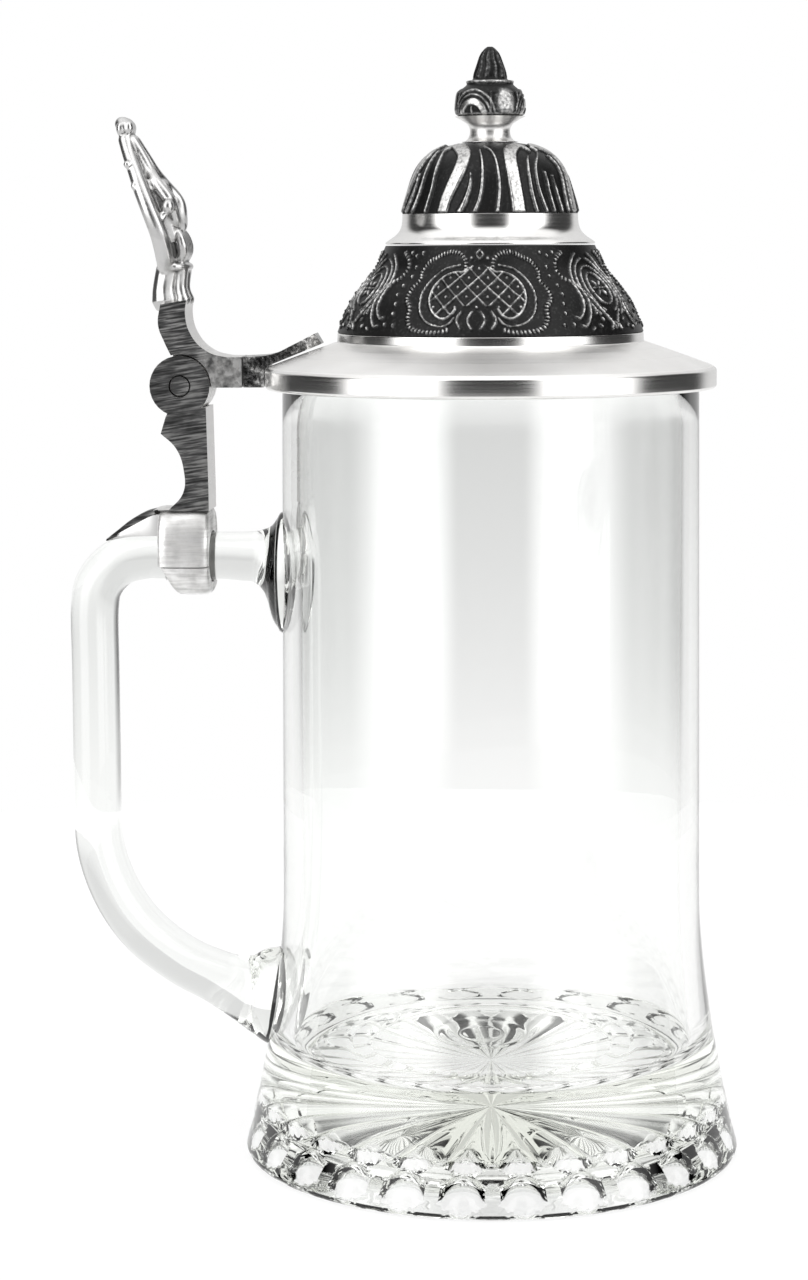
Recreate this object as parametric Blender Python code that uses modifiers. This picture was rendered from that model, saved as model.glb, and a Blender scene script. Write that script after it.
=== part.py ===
"""Glass beer stein with a hinged pewter lid, built as separate castings and glass pieces.

Frame: metres, +Z up, origin at table level in the middle of the whole footprint. The
handle and the hinge lie in the XZ plane, towards -X. The sizes below are millimetres,
and x is measured from the mug's own axis: every piece hangs from an empty on that axis.
"""

import math

import bmesh
import bpy
from mathutils import Matrix, Vector

MM = 0.001

# Overall
FOOT_RADIUS = 50.0
HANDLE_REACH = 85.0
AXIS_X = (HANDLE_REACH - FOOT_RADIUS) / 2
GAP = 0.3
TURN_STEPS = 48

# Glass body
RIM_Z = 156.0
RIM_RADIUS = 41.2
BODY_TAPER = 0.008
WALL = 3.2
FLARE_TOP = 52.0
FLARE_POWER = 1.6
FOOT_EDGE_Z = 1.2
FOOT_RING_INNER = 46.5
FLOOR_Z = 21.0
FLOOR_FLAT_RADIUS = 30.0
FLOOR_RISE = 8.0
CAVITY_FLARE_SHARE = 0.8
KICK_UP = 8.5

# Star pressed into the hollow underside
STAR_RAYS = 24
STAR_INNER = 4.0
STAR_OUTER = 44.0
STAR_WIDTH_SHARE = 0.9
STAR_DEPTH = 4.2

# Glass handle, an oval bar
BAR_HEIGHT = 9.7
BAR_WIDTH = 11.6
BAR_ARM_Z = 120.9
PAD_MIDDLE_Z = 117.5
BAR_GRIP_X = -HANDLE_REACH + BAR_HEIGHT / 2
BAR_CORNER_RADIUS = 10.5
BAR_SWEEP_RADIUS = 35.0
BAR_SWEEP_Z = 67.5

# Hinge
PIVOT_X = -61.3
PIVOT_Z = 155.2
HINGE_WIDTH = 11.0
KNUCKLE_RADIUS = 6.0
OUTER_KNUCKLE = 2.1
LEVER_KNUCKLE = 1.8
PIN_RADIUS = 1.5
PLUG_RADIUS = 1.9
PLUG_DEPTH = 1.0

# Strap that grips the handle
STRAP_LEFT = -66.0
STRAP_RIGHT = -55.8
STRAP_TOP = 130.6
STRAP_SEAM_Z = 119.3
STRAP_BOTTOM = 113.4
STRAP_HALF_WIDTH = 7.8

# Lid, heights of the joints between its rings
BRIM_RADIUS = 44.6
BRIM_BOTTOM = 154.6
BRIM_TOP = 158.7
BAND_BOTTOM = 165.7
SHOULDER_BOTTOM = 182.8
DOME_BOTTOM = 189.0
STEM_BOTTOM = 202.6
KNOB_BOTTOM = 207.4
TIP_Z = 221.0
SHELL = 1.7
TENON_RADIUS = 2.4
KNOB_TENON_RADIUS = 1.8
TENON_LENGTH = 2.6


# ---------------------------------------------------------------- scene set-up


def clear_scene():
    for existing in list(bpy.data.objects):
        bpy.data.objects.remove(existing, do_unlink=True)


def new_collection(name):
    collection = bpy.data.collections.new(name)
    bpy.context.scene.collection.children.link(collection)
    return collection


def new_material(name, colour, roughness, metallic, transmission=0.0):
    material = bpy.data.materials.new(name)
    material.use_nodes = True
    shader = material.node_tree.nodes["Principled BSDF"]
    shader.inputs["Base Color"].default_value = (*colour, 1.0)
    shader.inputs["Roughness"].default_value = roughness
    shader.inputs["Metallic"].default_value = metallic
    shader.inputs["Transmission Weight"].default_value = transmission
    return material


def add_object(name, data, collection, material=None):
    made = bpy.data.objects.new(name, data)
    collection.objects.link(made)
    if material is not None:
        made.data.materials.append(material)
    return made


def as_helper(made):
    """Marks a cutter or guide, which is not part of the stein."""
    made.hide_render = True
    made.display_type = "WIRE"
    return made


# ---------------------------------------------------------------- shape tools


def turned(name, profile, collection, material=None, steps=TURN_STEPS, closed=True):
    """A shape turned about the mug's axis. The profile runs down its outer side."""
    mesh = bpy.data.meshes.new(name)
    count = len(profile)
    edges = [(i, i + 1) for i in range(count - 1)]
    if closed:
        edges.append((count - 1, 0))
    mesh.from_pydata([(r * MM, 0, z * MM) for r, z in profile], edges, [])
    made = add_object(name, mesh, collection, material)
    screw = made.modifiers.new("turn", "SCREW")
    screw.steps = steps
    screw.render_steps = steps
    screw.use_merge_vertices = True
    screw.merge_threshold = 0.00001
    screw.use_smooth_shade = True
    return made


def frozen(source, name, collection, material=None):
    """A plain mesh of what the source evaluates to, with a curve's loose caps welded."""
    graph = bpy.context.evaluated_depsgraph_get()
    mesh = bpy.data.meshes.new_from_object(source.evaluated_get(graph))
    mesh.name = name
    shape = bmesh.new()
    shape.from_mesh(mesh)
    bmesh.ops.remove_doubles(shape, verts=shape.verts, dist=0.000001)
    bmesh.ops.recalc_face_normals(shape, faces=shape.faces)
    shape.to_mesh(mesh)
    shape.free()
    mesh.materials.clear()
    made = add_object(name, mesh, collection, material)
    made.matrix_world = source.matrix_world.copy()
    bpy.data.objects.remove(source, do_unlink=True)
    bpy.context.view_layer.update()
    return made


PLANES = {
    "XZ": Matrix(((1, 0, 0), (0, 0, -1), (0, 1, 0))),
    "YZ": Matrix(((0, 0, 1), (1, 0, 0), (0, 1, 0))),
    "XY": Matrix(((1, 0, 0), (0, 1, 0), (0, 0, 1))),
}


def extruded(name, outline, thickness, plane, collection, material=None, centre=(0, 0, 0)):
    """A flat outline given a thickness. An outline point is (u, v) for a corner and
    (u, v, "smooth") where the edge runs through it as a curve."""
    curve = bpy.data.curves.new(name, "CURVE")
    curve.dimensions = "2D"
    curve.fill_mode = "BOTH"
    curve.extrude = thickness / 2 * MM
    curve.resolution_u = 5
    spline = curve.splines.new("BEZIER")
    spline.bezier_points.add(len(outline) - 1)
    spline.use_cyclic_u = True
    for point, place in zip(spline.bezier_points, outline):
        point.co = (place[0] * MM, place[1] * MM, 0)
        kind = "AUTO" if len(place) == 3 else "VECTOR"
        point.handle_left_type = kind
        point.handle_right_type = kind
    made = add_object(name + "_outline", curve, collection)
    made.matrix_world = Matrix.Translation(Vector(centre) * MM) @ PLANES[plane].to_4x4()
    bpy.context.view_layer.update()
    return frozen(made, name, collection, material)


def cylinder_y(name, radius, y_low, y_high, collection, material=None, x=PIVOT_X, z=PIVOT_Z):
    """A round bar along Y between two heights of y, on the hinge's axis unless told."""
    bpy.ops.mesh.primitive_cylinder_add(
        vertices=32,
        radius=radius * MM,
        depth=(y_high - y_low) * MM,
        location=(x * MM, (y_low + y_high) / 2 * MM, z * MM),
        rotation=(math.radians(90), 0, 0),
    )
    made = bpy.context.object
    made.name = name
    made.data.name = name
    for holder in list(made.users_collection):
        holder.objects.unlink(made)
    collection.objects.link(made)
    if material is not None:
        made.data.materials.append(material)
    return made


def combine(target, other, operation):
    """A Boolean left on the target. The other object becomes a helper that goes with it."""
    modifier = target.modifiers.new(other.name, "BOOLEAN")
    modifier.object = other
    modifier.operation = operation
    modifier.solver = "EXACT"
    as_helper(other)
    other.parent = target
    other.matrix_parent_inverse = target.matrix_world.inverted()


# ---------------------------------------------------------------- glass


def body_radius(z, offset=0.0):
    """Outer radius of the glass body: a slight taper, then the flare of the foot."""
    straight = RIM_RADIUS + BODY_TAPER * (RIM_Z - z)
    flare = FOOT_RADIUS - RIM_RADIUS - BODY_TAPER * (RIM_Z - FOOT_EDGE_Z)
    share = max(0.0, (FLARE_TOP - z) / (FLARE_TOP - FOOT_EDGE_Z))
    return straight + flare * share**FLARE_POWER + offset


def fillet(centre, radius, start_deg, end_deg, count):
    """Points along an arc between two angles, both ends included."""
    angles = [start_deg + (end_deg - start_deg) * i / (count - 1) for i in range(count)]
    return [
        (centre[0] + radius * math.cos(math.radians(a)), centre[1] + radius * math.sin(math.radians(a)))
        for a in angles
    ]


def foot_heights():
    """Heights down the outer side, closer together where the foot flares."""
    straight = [RIM_Z - 4, 104.0]
    flared = [FLARE_TOP - (FLARE_TOP - FOOT_EDGE_Z) * i / 10 for i in range(11)]
    return straight + flared


def cavity_radius(z):
    """Inner radius: straight, then widening with the foot but less than the outside does."""
    return RIM_RADIUS - WALL + CAVITY_FLARE_SHARE * (body_radius(min(z, FLARE_TOP)) - body_radius(FLARE_TOP))


def make_glass_body(collection, helpers, glass):
    """The mug: rounded rim, flared foot, hollow underside with its star."""
    inner_radius = RIM_RADIUS - WALL
    bend_top = FLOOR_Z + FLOOR_RISE
    bend_width = cavity_radius(bend_top) - FLOOR_FLAT_RADIUS
    profile = [(0, FLOOR_Z)]
    for turn, height in fillet((0, bend_top), FLOOR_RISE, -90, 0, 6):
        profile.append((FLOOR_FLAT_RADIUS + turn * bend_width / FLOOR_RISE, height))
    profile += [(cavity_radius(z), z) for z in (bend_top + 6, bend_top + 14, FLARE_TOP)]
    lip = (inner_radius + WALL / 2, RIM_Z - WALL / 2)
    profile += fillet(lip, WALL / 2, 180, 0, 7)
    profile += [(body_radius(z), z) for z in foot_heights()]
    profile += [(FOOT_RADIUS - 0.9, 0), (FOOT_RING_INNER, 0), (0, KICK_UP)]
    body = turned("glass_body", profile, collection, glass, closed=False)
    combine(body, make_star_cutter(helpers), "DIFFERENCE")
    return body


def make_star_cutter(helpers):
    """Four-sided cones laid out like spokes: each cuts one V-shaped ray under the foot."""
    length = STAR_OUTER - STAR_INNER
    half_width = STAR_OUTER * math.tan(math.pi / STAR_RAYS) * STAR_WIDTH_SHARE
    slope = math.atan2(KICK_UP, FOOT_RING_INNER)
    start = (STAR_INNER, 0, KICK_UP - STAR_INNER * math.tan(slope))
    flatten = Matrix.Diagonal((STAR_DEPTH / half_width, 1, 1, 1))
    along_slope = Matrix.Rotation(slope + math.radians(90), 4, "Y")
    from_hub = Matrix.Translation(Vector(start) * MM) @ along_slope
    halfway = Matrix.Translation(Vector((0, 0, length / 2)) * MM)
    rays = bmesh.new()
    for i in range(STAR_RAYS):
        spoke = Matrix.Rotation(2 * math.pi * (i + 0.5) / STAR_RAYS, 4, "Z")
        bmesh.ops.create_cone(
            rays,
            cap_ends=True,
            segments=4,
            radius1=0.05 * MM,
            radius2=half_width * MM,
            depth=length * MM,
            matrix=spoke @ from_hub @ halfway @ flatten,
        )
    mesh = bpy.data.meshes.new("star_cutter")
    rays.to_mesh(mesh)
    rays.free()
    return add_object("star_cutter", mesh, helpers)


def handle_route():
    """Centreline of the bar as (x, z, thickness share): arm, corner, grip, sweep, foot."""
    route = [
        (-38.0, PAD_MIDDLE_Z, 2.5),
        (-42.0, PAD_MIDDLE_Z, 2.45),
        (-43.6, PAD_MIDDLE_Z + 0.1, 2.15),
        (-44.8, 119.0, 1.7),
        (-47.0, 120.1, 1.2),
        (-50.5, BAR_ARM_Z, 1.0),
    ]
    corner = (BAR_GRIP_X + BAR_CORNER_RADIUS, BAR_ARM_Z - BAR_CORNER_RADIUS)
    route += [(x, z, 1.0) for x, z in fillet(corner, BAR_CORNER_RADIUS, 90, 180, 7)]
    sweep = (BAR_GRIP_X + BAR_SWEEP_RADIUS, BAR_SWEEP_Z)
    turned_in = fillet(sweep, BAR_SWEEP_RADIUS, 180, 255, 9)
    route += [(x, z, 1.0 + 0.012 * i) for i, (x, z) in enumerate(turned_in)]
    route += [(-51.0, 32.2, 1.35), (-47.8, 30.9, 1.85), (-45.4, 30.4, 2.05), (-38.0, 30.3, 2.3)]
    return route


def make_bar(name, collection, material=None, grow=0.0):
    """The whole oval bar along its route, thicker all round by the growth given."""
    half_height = BAR_HEIGHT / 2 + grow
    curve = bpy.data.curves.new(name, "CURVE")
    curve.dimensions = "3D"
    curve.bevel_depth = half_height * MM
    curve.bevel_resolution = 4
    curve.use_fill_caps = True
    curve.twist_mode = "MINIMUM"
    spline = curve.splines.new("POLY")
    route = handle_route()
    spline.points.add(len(route) - 1)
    for point, (x, z, share) in zip(spline.points, route):
        point.co = (x * MM, 0, z * MM, 1)
        point.radius = share
    bar = add_object(name + "_route", curve, collection)
    bar.scale.y = (BAR_WIDTH / 2 + grow) / half_height
    bpy.context.view_layer.update()
    return frozen(bar, name, collection, material)


def make_glass_handle(collection, helpers, glass):
    """An oval bar whose flared ends are cut to sit on the body."""
    handle = make_bar("glass_handle", collection, glass)
    combine(handle, make_body_envelope(helpers), "DIFFERENCE")
    return handle


def make_body_envelope(helpers):
    """The outside of the glass body, grown by the gap that its neighbours keep."""
    profile = [(0, RIM_Z + 10), (body_radius(RIM_Z, GAP), RIM_Z + 10)]
    profile += [(body_radius(z, GAP), z) for z in foot_heights()]
    profile += [(0, -5)]
    envelope = turned("body_envelope", profile, helpers, closed=False)
    return as_helper(envelope)


# ---------------------------------------------------------------- hinge and strap


def shank_knuckles():
    """The three rings of the shank along Y, as (low, high)."""
    half = HINGE_WIDTH / 2
    inner = half - OUTER_KNUCKLE - 2 * GAP - LEVER_KNUCKLE
    return [(-half, -half + OUTER_KNUCKLE), (-inner, inner), (half - OUTER_KNUCKLE, half)]


def lever_knuckles():
    """The two rings of the lever, between those of the shank."""
    rings = shank_knuckles()
    return [(rings[i][1] + GAP, rings[i + 1][0] - GAP) for i in range(2)]


def cut_knuckle_slots(target, rings, helpers, label):
    """Clears room in the target for the other piece's rings and their turning."""
    for i, (low, high) in enumerate(rings):
        low_end = low - GAP if low > -HINGE_WIDTH / 2 else low - 2
        high_end = high + GAP if high < HINGE_WIDTH / 2 else high + 2
        slot = cylinder_y(f"{label}_{i}", KNUCKLE_RADIUS + GAP, low_end, high_end, helpers)
        combine(target, slot, "DIFFERENCE")


def bore_for_pin(target, helpers, label):
    reach = HINGE_WIDTH / 2 + 2
    bore = cylinder_y(f"{label}_bore", PIN_RADIUS + GAP, -reach, reach, helpers)
    combine(target, bore, "DIFFERENCE")


def strap_section(top, half_top):
    """The strap's outer shape looking along the handle's arm, as (y, z)."""
    right = [
        (half_top, top),
        (7.0, 126.5, "smooth"),
        (STRAP_HALF_WIDTH, BAR_ARM_Z, "smooth"),
        (7.2, 116.6, "smooth"),
        (4.6, STRAP_BOTTOM),
    ]
    left = [(-place[0], *place[1:]) for place in reversed(right)]
    return right + left


def make_hinge_shank(collection, helpers, pewter):
    """Stand of the hinge: rings, web with its stop tooth, saddle over the handle and spur."""
    web = [
        (-63.5, 150.5),
        (-64.2, 149.0),
        (-65.2, 145.8),
        (-62.2, 142.9, "smooth"),
        (-60.7, 138.5, "smooth"),
        (-60.9, 134.0, "smooth"),
        (-63.8, STRAP_TOP),
        (-63.8, 128.0),
        (STRAP_RIGHT, 128.0),
        (STRAP_RIGHT, 134.0),
        (-56.1, 151.0),
    ]
    shank = extruded("hinge_shank", web, HINGE_WIDTH, "XZ", collection, pewter)
    half = HINGE_WIDTH / 2
    combine(shank, cylinder_y("shank_barrel", KNUCKLE_RADIUS, -half, half, helpers), "UNION")
    cut_knuckle_slots(shank, lever_knuckles(), helpers, "lever_room")
    saddle = extruded(
        "saddle",
        strap_section(STRAP_TOP, half - 0.2),
        STRAP_RIGHT - STRAP_LEFT,
        "YZ",
        helpers,
        centre=((STRAP_LEFT + STRAP_RIGHT) / 2, 0, 0),
    )
    combine(shank, saddle, "UNION")
    combine(shank, make_spur(helpers), "UNION")
    combine(shank, make_bar("room_over_bar", helpers, grow=GAP), "DIFFERENCE")
    combine(shank, below_seam(helpers, "below_seam"), "DIFFERENCE")
    bore_for_pin(shank, helpers, "shank")
    for side in (-1, 1):
        low, high = sorted((side * half, side * (half - PLUG_DEPTH - GAP)))
        seat = cylinder_y(f"plug_seat_{side}", PLUG_RADIUS + GAP, low - 0.5, high + 0.5, helpers)
        combine(shank, seat, "DIFFERENCE")
    return shank


def make_spur(helpers):
    """The leaf that runs from the saddle down over the handle's corner, pointed in plan."""
    side_view = [
        (-63.0, STRAP_TOP),
        (-66.4, STRAP_TOP),
        (-70.0, 129.6, "smooth"),
        (-74.4, 127.4, "smooth"),
        (-77.6, 123.9),
        (-76.0, 122.0),
        (-70.0, 124.0),
        (-63.0, 124.0),
    ]
    plan = [(-62.0, 4.6), (-67.0, 4.6), (-73.5, 3.0, "smooth"), (-78.0, 0.5)]
    plan += [(place[0], -place[1], *place[2:]) for place in reversed(plan)]
    spur = extruded("spur", side_view, 2 * STRAP_HALF_WIDTH, "XZ", helpers)
    combine(spur, extruded("spur_plan", plan, 400, "XY", helpers), "INTERSECT")
    return spur


def below_seam(helpers, name):
    """Everything below the seam between the saddle and the lower half of the strap."""
    low = STRAP_BOTTOM - 5
    high = STRAP_SEAM_Z + GAP / 2
    outline = [(-90, low), (-90, high), (-50, high), (-50, low)]
    return extruded(name, outline, 40, "XZ", helpers)


def make_strap_lower(collection, helpers, pewter):
    """The channel that closes the strap under the handle, with its slanted outer end."""
    strap = extruded(
        "strap_lower",
        strap_section(STRAP_TOP, HINGE_WIDTH / 2 - 0.2),
        STRAP_RIGHT - STRAP_LEFT,
        "YZ",
        collection,
        pewter,
        centre=((STRAP_LEFT + STRAP_RIGHT) / 2, 0, 0),
    )
    combine(strap, make_bar("room_under_bar", helpers, grow=GAP), "DIFFERENCE")
    seam = STRAP_SEAM_Z - GAP / 2
    kept = [
        (STRAP_LEFT - 1, seam),
        (STRAP_LEFT, 118.0),
        (-62.8, STRAP_BOTTOM - 0.5),
        (-56.4, STRAP_BOTTOM - 0.5),
        (STRAP_RIGHT + 1, seam),
    ]
    combine(strap, extruded("lower_outline", kept, 40, "XZ", helpers), "INTERSECT")
    return strap


def make_hinge_lever(collection, helpers, pewter):
    """Moving half of the hinge: two rings, an upright for the thumblift and a foot."""
    outline = [
        (-64.9, 171.3),
        (-65.4, 167.3, "smooth"),
        (-64.2, 163.9, "smooth"),
        (-62.6, 160.6),
        (-61.3, 158.0),
        (-56.0, 154.9),
        (-48.9, 154.9),
        (-48.9, 160.9),
        (-52.4, 161.0, "smooth"),
        (-56.0, 162.2, "smooth"),
        (-59.0, 165.5, "smooth"),
        (-60.0, 169.5, "smooth"),
        (-59.7, 172.1),
    ]
    lever = extruded("hinge_lever", outline, HINGE_WIDTH, "XZ", collection, pewter)
    half = HINGE_WIDTH / 2
    combine(lever, cylinder_y("lever_barrel", KNUCKLE_RADIUS, -half, half, helpers), "UNION")
    cut_knuckle_slots(lever, shank_knuckles(), helpers, "shank_room")
    bore_for_pin(lever, helpers, "lever")
    return lever


def make_pin_and_plugs(collection, steel, pewter):
    half = HINGE_WIDTH / 2
    end = half - PLUG_DEPTH - GAP
    return [
        cylinder_y("hinge_pin", PIN_RADIUS, -end, end, collection, steel),
        cylinder_y("pin_plug_front", PLUG_RADIUS, -half, PLUG_DEPTH - half, collection, pewter),
        cylinder_y("pin_plug_back", PLUG_RADIUS, half - PLUG_DEPTH, half, collection, pewter),
    ]


def make_thumblift(collection, helpers, pewter):
    """Leaf-shaped thumb rest: a leaning side view crossed with a waisted front view."""
    side_view = [
        (-59.9, 172.5),
        (-60.0, 178.4, "smooth"),
        (-60.4, 184.5, "smooth"),
        (-61.9, 190.0, "smooth"),
        (-66.0, 197.5, "smooth"),
        (-70.2, 205.0, "smooth"),
        (-71.2, 208.4, "smooth"),
        (-73.6, 207.4, "smooth"),
        (-73.0, 202.8, "smooth"),
        (-70.6, 196.0, "smooth"),
        (-67.6, 189.5, "smooth"),
        (-65.4, 182.5, "smooth"),
        (-64.9, 177.5, "smooth"),
        (-65.2, 171.7),
    ]
    half_front = [
        (4.8, 171.0),
        (3.6, 177.5, "smooth"),
        (5.2, 182.5, "smooth"),
        (9.0, 189.0, "smooth"),
        (8.4, 197.0, "smooth"),
        (5.0, 203.5, "smooth"),
        (2.6, 208.9, "smooth"),
    ]
    front = half_front + [(-place[0], *place[1:]) for place in reversed(half_front)]
    lift = extruded("thumblift", side_view, 30, "XZ", collection, pewter)
    crossing = extruded("thumblift_front", front, 60, "YZ", helpers, centre=(-65, 0, 0))
    combine(lift, crossing, "INTERSECT")
    return lift


def make_lid_tang(collection, helpers, pewter):
    """Tongue soldered to the lever's foot and laid up the lid's cone."""
    side_view = [
        (-48.6, 154.9),
        (-44.0, 154.9),
        (-40.0, 156.0),
        (-33.4, 158.0),
        (-33.4, 163.6),
        (-34.6, 165.4),
        (-38.5, 163.4, "smooth"),
        (-43.0, 161.4, "smooth"),
        (-48.6, 160.9),
    ]
    plan = [(-50, 5.0), (-46, 5.0), (-41, 5.0, "smooth"), (-36, 4.2, "smooth"), (-32.5, 2.0)]
    plan = plan + [(place[0], -place[1], *place[2:]) for place in reversed(plan)]
    tang = extruded("lid_tang", side_view, HINGE_WIDTH, "XZ", collection, pewter)
    combine(tang, extruded("tang_plan", plan, 400, "XY", helpers), "INTERSECT")
    room = [
        (0, 200),
        (28, 200),
        (28, BAND_BOTTOM),
        (31.2, 164.3),
        (BRIM_RADIUS - 0.4, BRIM_TOP + GAP + 0.1),
        (BRIM_RADIUS + GAP, BRIM_TOP - 0.6),
        (BRIM_RADIUS + GAP, 140),
        (0, 140),
    ]
    combine(tang, turned("lid_room", room, helpers, closed=False), "DIFFERENCE")
    return tang


# ---------------------------------------------------------------- lid


def ring_profile(outer, wall=SHELL, inner_top=None, inner_bottom=None):
    """A closed profile of a shell from its outer line, given from top to bottom."""
    inner = [(r - wall, z) for r, z in reversed(outer)]
    if inner_bottom is not None:
        inner[0] = (inner_bottom, outer[-1][1])
    if inner_top is not None:
        inner[-1] = (inner_top, outer[0][1])
    return outer + inner


def make_lid_plate(collection, pewter):
    """Brim, cone and the turned seat that carries the relief band."""
    seat_top = BAND_BOTTOM - GAP
    profile = [
        (30.2, seat_top),
        (30.4, 164.4),
        (31.2, 163.9),
        (BRIM_RADIUS - 0.6, BRIM_TOP),
        (BRIM_RADIUS, BRIM_TOP - 0.7),
        (BRIM_RADIUS, BRIM_BOTTOM + 0.5),
        (BRIM_RADIUS - 0.5, BRIM_BOTTOM),
        (42.6, BRIM_BOTTOM),
        (42.3, RIM_Z + GAP),
        (37.0, RIM_Z + GAP),
        (35.6, 159.2),
        (28.6, 162.0),
        (28.4, seat_top),
    ]
    return turned("lid_plate", profile, collection, pewter)


def make_relief_band(collection, pewter):
    """Ogee ring that carries the embossed ornament."""
    outer = [
        (20.7, SHOULDER_BOTTOM - GAP),
        (21.5, 180.5),
        (22.5, 178.2),
        (23.9, 176.4),
        (25.8, 174.2),
        (27.9, 171.1),
        (29.4, 168.0),
        (30.3, BAND_BOTTOM),
    ]
    return turned("relief_band", ring_profile(outer), collection, pewter)


def make_lid_shoulder(collection, pewter):
    """Polished step between the band and the dome."""
    outer = [
        (17.2, DOME_BOTTOM - GAP),
        (17.3, 186.8),
        (17.6, 185.9),
        (18.1, 185.0),
        (19.0, 184.2),
        (20.5, SHOULDER_BOTTOM + 0.2),
        (20.6, SHOULDER_BOTTOM),
    ]
    return turned("lid_shoulder", ring_profile(outer), collection, pewter)


def make_relief_dome(collection, pewter):
    """Fluted cap, bored at the top for the finial's tenon."""
    top = STEM_BOTTOM - GAP
    outer = [
        (5.6, top),
        (9.4, 201.4),
        (11.4, 200.4),
        (12.9, 199.1),
        (14.2, 197.4),
        (15.2, 195.2),
        (16.0, 192.8),
        (16.7, 190.6),
        (17.2, DOME_BOTTOM),
    ]
    bore = TENON_RADIUS + GAP
    inner = [(15.5, DOME_BOTTOM), (14.4, 192.8), (12.6, 197.0), (8.8, 199.7), (bore, 200.5), (bore, top)]
    return turned("relief_dome", outer + inner, collection, pewter)


def make_finial_stem(collection, pewter):
    """Waisted stem with a tenon at each end."""
    top = KNOB_BOTTOM - GAP
    stem = [
        (0, top + TENON_LENGTH),
        (KNOB_TENON_RADIUS, top + TENON_LENGTH),
        (KNOB_TENON_RADIUS, top),
        (6.3, top),
        (5.2, 206.7),
        (4.2, 206.0),
        (3.7, 204.9),
        (3.9, 203.8),
        (4.7, 203.0),
        (5.0, STEM_BOTTOM),
        (TENON_RADIUS, STEM_BOTTOM),
        (TENON_RADIUS, 200.8),
        (0, 200.8),
    ]
    return turned("finial_stem", stem, collection, pewter, steps=32, closed=False)


def make_finial_knob(collection, pewter):
    """Round knob with a ledge and an acorn tip, bored for the stem's tenon."""
    socket_radius = KNOB_TENON_RADIUS + GAP
    socket_top = KNOB_BOTTOM + TENON_LENGTH
    knob = [
        (0, TIP_Z),
        (1.2, 220.7),
        (2.3, 219.2),
        (2.9, 217.7),
        (3.7, 214.9),
        (4.6, 214.7),
        (4.7, 213.9),
        (5.8, 213.1),
        (6.7, 212.0),
        (7.0, 210.2),
        (7.05, 208.4),
        (6.6, KNOB_BOTTOM),
        (socket_radius, KNOB_BOTTOM),
        (socket_radius, socket_top),
        (0, socket_top),
    ]
    return turned("finial_knob", knob, collection, pewter, steps=32, closed=False)


# ---------------------------------------------------------------- assembly


def add_empty(name, place, collection, parent=None):
    """An empty at a place measured from its parent."""
    empty = add_object(name, None, collection)
    empty.empty_display_size = 0.01
    empty.location = Vector(place) * MM
    empty.parent = parent
    return empty


def hang(pieces, empty, offset=(0, 0, 0)):
    """Parents pieces to an empty. The offset is where the mug's axis is, seen from it."""
    for piece in pieces:
        piece.parent = empty
        piece.matrix_parent_inverse = Matrix.Translation(Vector(offset) * MM)


def main():
    clear_scene()
    stein = new_collection("beer_stein")
    helpers = new_collection("cutters")
    helpers.hide_render = True
    glass = new_material("clear_glass", (0.95, 0.97, 0.96), 0.02, 0.0, transmission=1.0)
    satin = new_material("satin_pewter", (0.72, 0.72, 0.71), 0.32, 1.0)
    dark = new_material("patinated_pewter", (0.10, 0.10, 0.10), 0.45, 1.0)
    steel = new_material("pin_steel", (0.60, 0.60, 0.61), 0.25, 1.0)

    mug = [
        make_glass_body(stein, helpers, glass),
        make_glass_handle(stein, helpers, glass),
        make_hinge_shank(stein, helpers, satin),
        make_strap_lower(stein, helpers, satin),
    ]
    mug += make_pin_and_plugs(stein, steel, satin)
    lid = [
        make_hinge_lever(stein, helpers, satin),
        make_thumblift(stein, helpers, satin),
        make_lid_tang(stein, helpers, satin),
        make_lid_plate(stein, satin),
        make_relief_band(stein, dark),
        make_lid_shoulder(stein, satin),
        make_relief_dome(stein, dark),
        make_finial_stem(stein, satin),
        make_finial_knob(stein, dark),
    ]
    mug_axis = add_empty("mug_axis", (AXIS_X, 0, 0), stein)
    lid_hinge = add_empty("lid_hinge", (PIVOT_X, 0, PIVOT_Z), stein, mug_axis)
    hang(mug, mug_axis)
    hang(lid, lid_hinge, (-PIVOT_X, 0, -PIVOT_Z))


main()
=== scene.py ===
"""The look of a glass beer stein with a hinged, ornamented pewter lid.

Sizes are millimetres. Places are measured from the mug's axis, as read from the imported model.
"""

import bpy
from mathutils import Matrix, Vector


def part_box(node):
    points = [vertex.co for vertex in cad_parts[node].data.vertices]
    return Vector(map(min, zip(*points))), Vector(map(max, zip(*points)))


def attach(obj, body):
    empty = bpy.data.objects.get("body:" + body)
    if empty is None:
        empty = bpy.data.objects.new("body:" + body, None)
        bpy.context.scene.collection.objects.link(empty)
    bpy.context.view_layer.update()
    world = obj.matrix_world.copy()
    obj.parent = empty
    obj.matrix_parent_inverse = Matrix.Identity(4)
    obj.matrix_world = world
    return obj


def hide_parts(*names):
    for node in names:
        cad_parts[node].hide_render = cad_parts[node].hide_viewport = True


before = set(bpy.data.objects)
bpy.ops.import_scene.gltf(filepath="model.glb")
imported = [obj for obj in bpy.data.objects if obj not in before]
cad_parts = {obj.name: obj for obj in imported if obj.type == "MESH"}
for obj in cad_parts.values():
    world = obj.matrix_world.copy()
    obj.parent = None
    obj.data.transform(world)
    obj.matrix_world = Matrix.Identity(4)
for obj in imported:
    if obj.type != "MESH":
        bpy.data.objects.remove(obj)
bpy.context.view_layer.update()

import math

import bmesh
import bpy
import numpy as np
from mathutils import Matrix, Vector

MM = 0.001


def node_box(name):
    """A CAD node's lowest and highest corners in millimetres."""
    return [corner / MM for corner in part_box(name)]


BODY_LOW, BODY_HIGH = node_box("glass_body")
AXIS_X = (BODY_LOW.x + BODY_HIGH.x) / 2


# ---- points and curves


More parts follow.
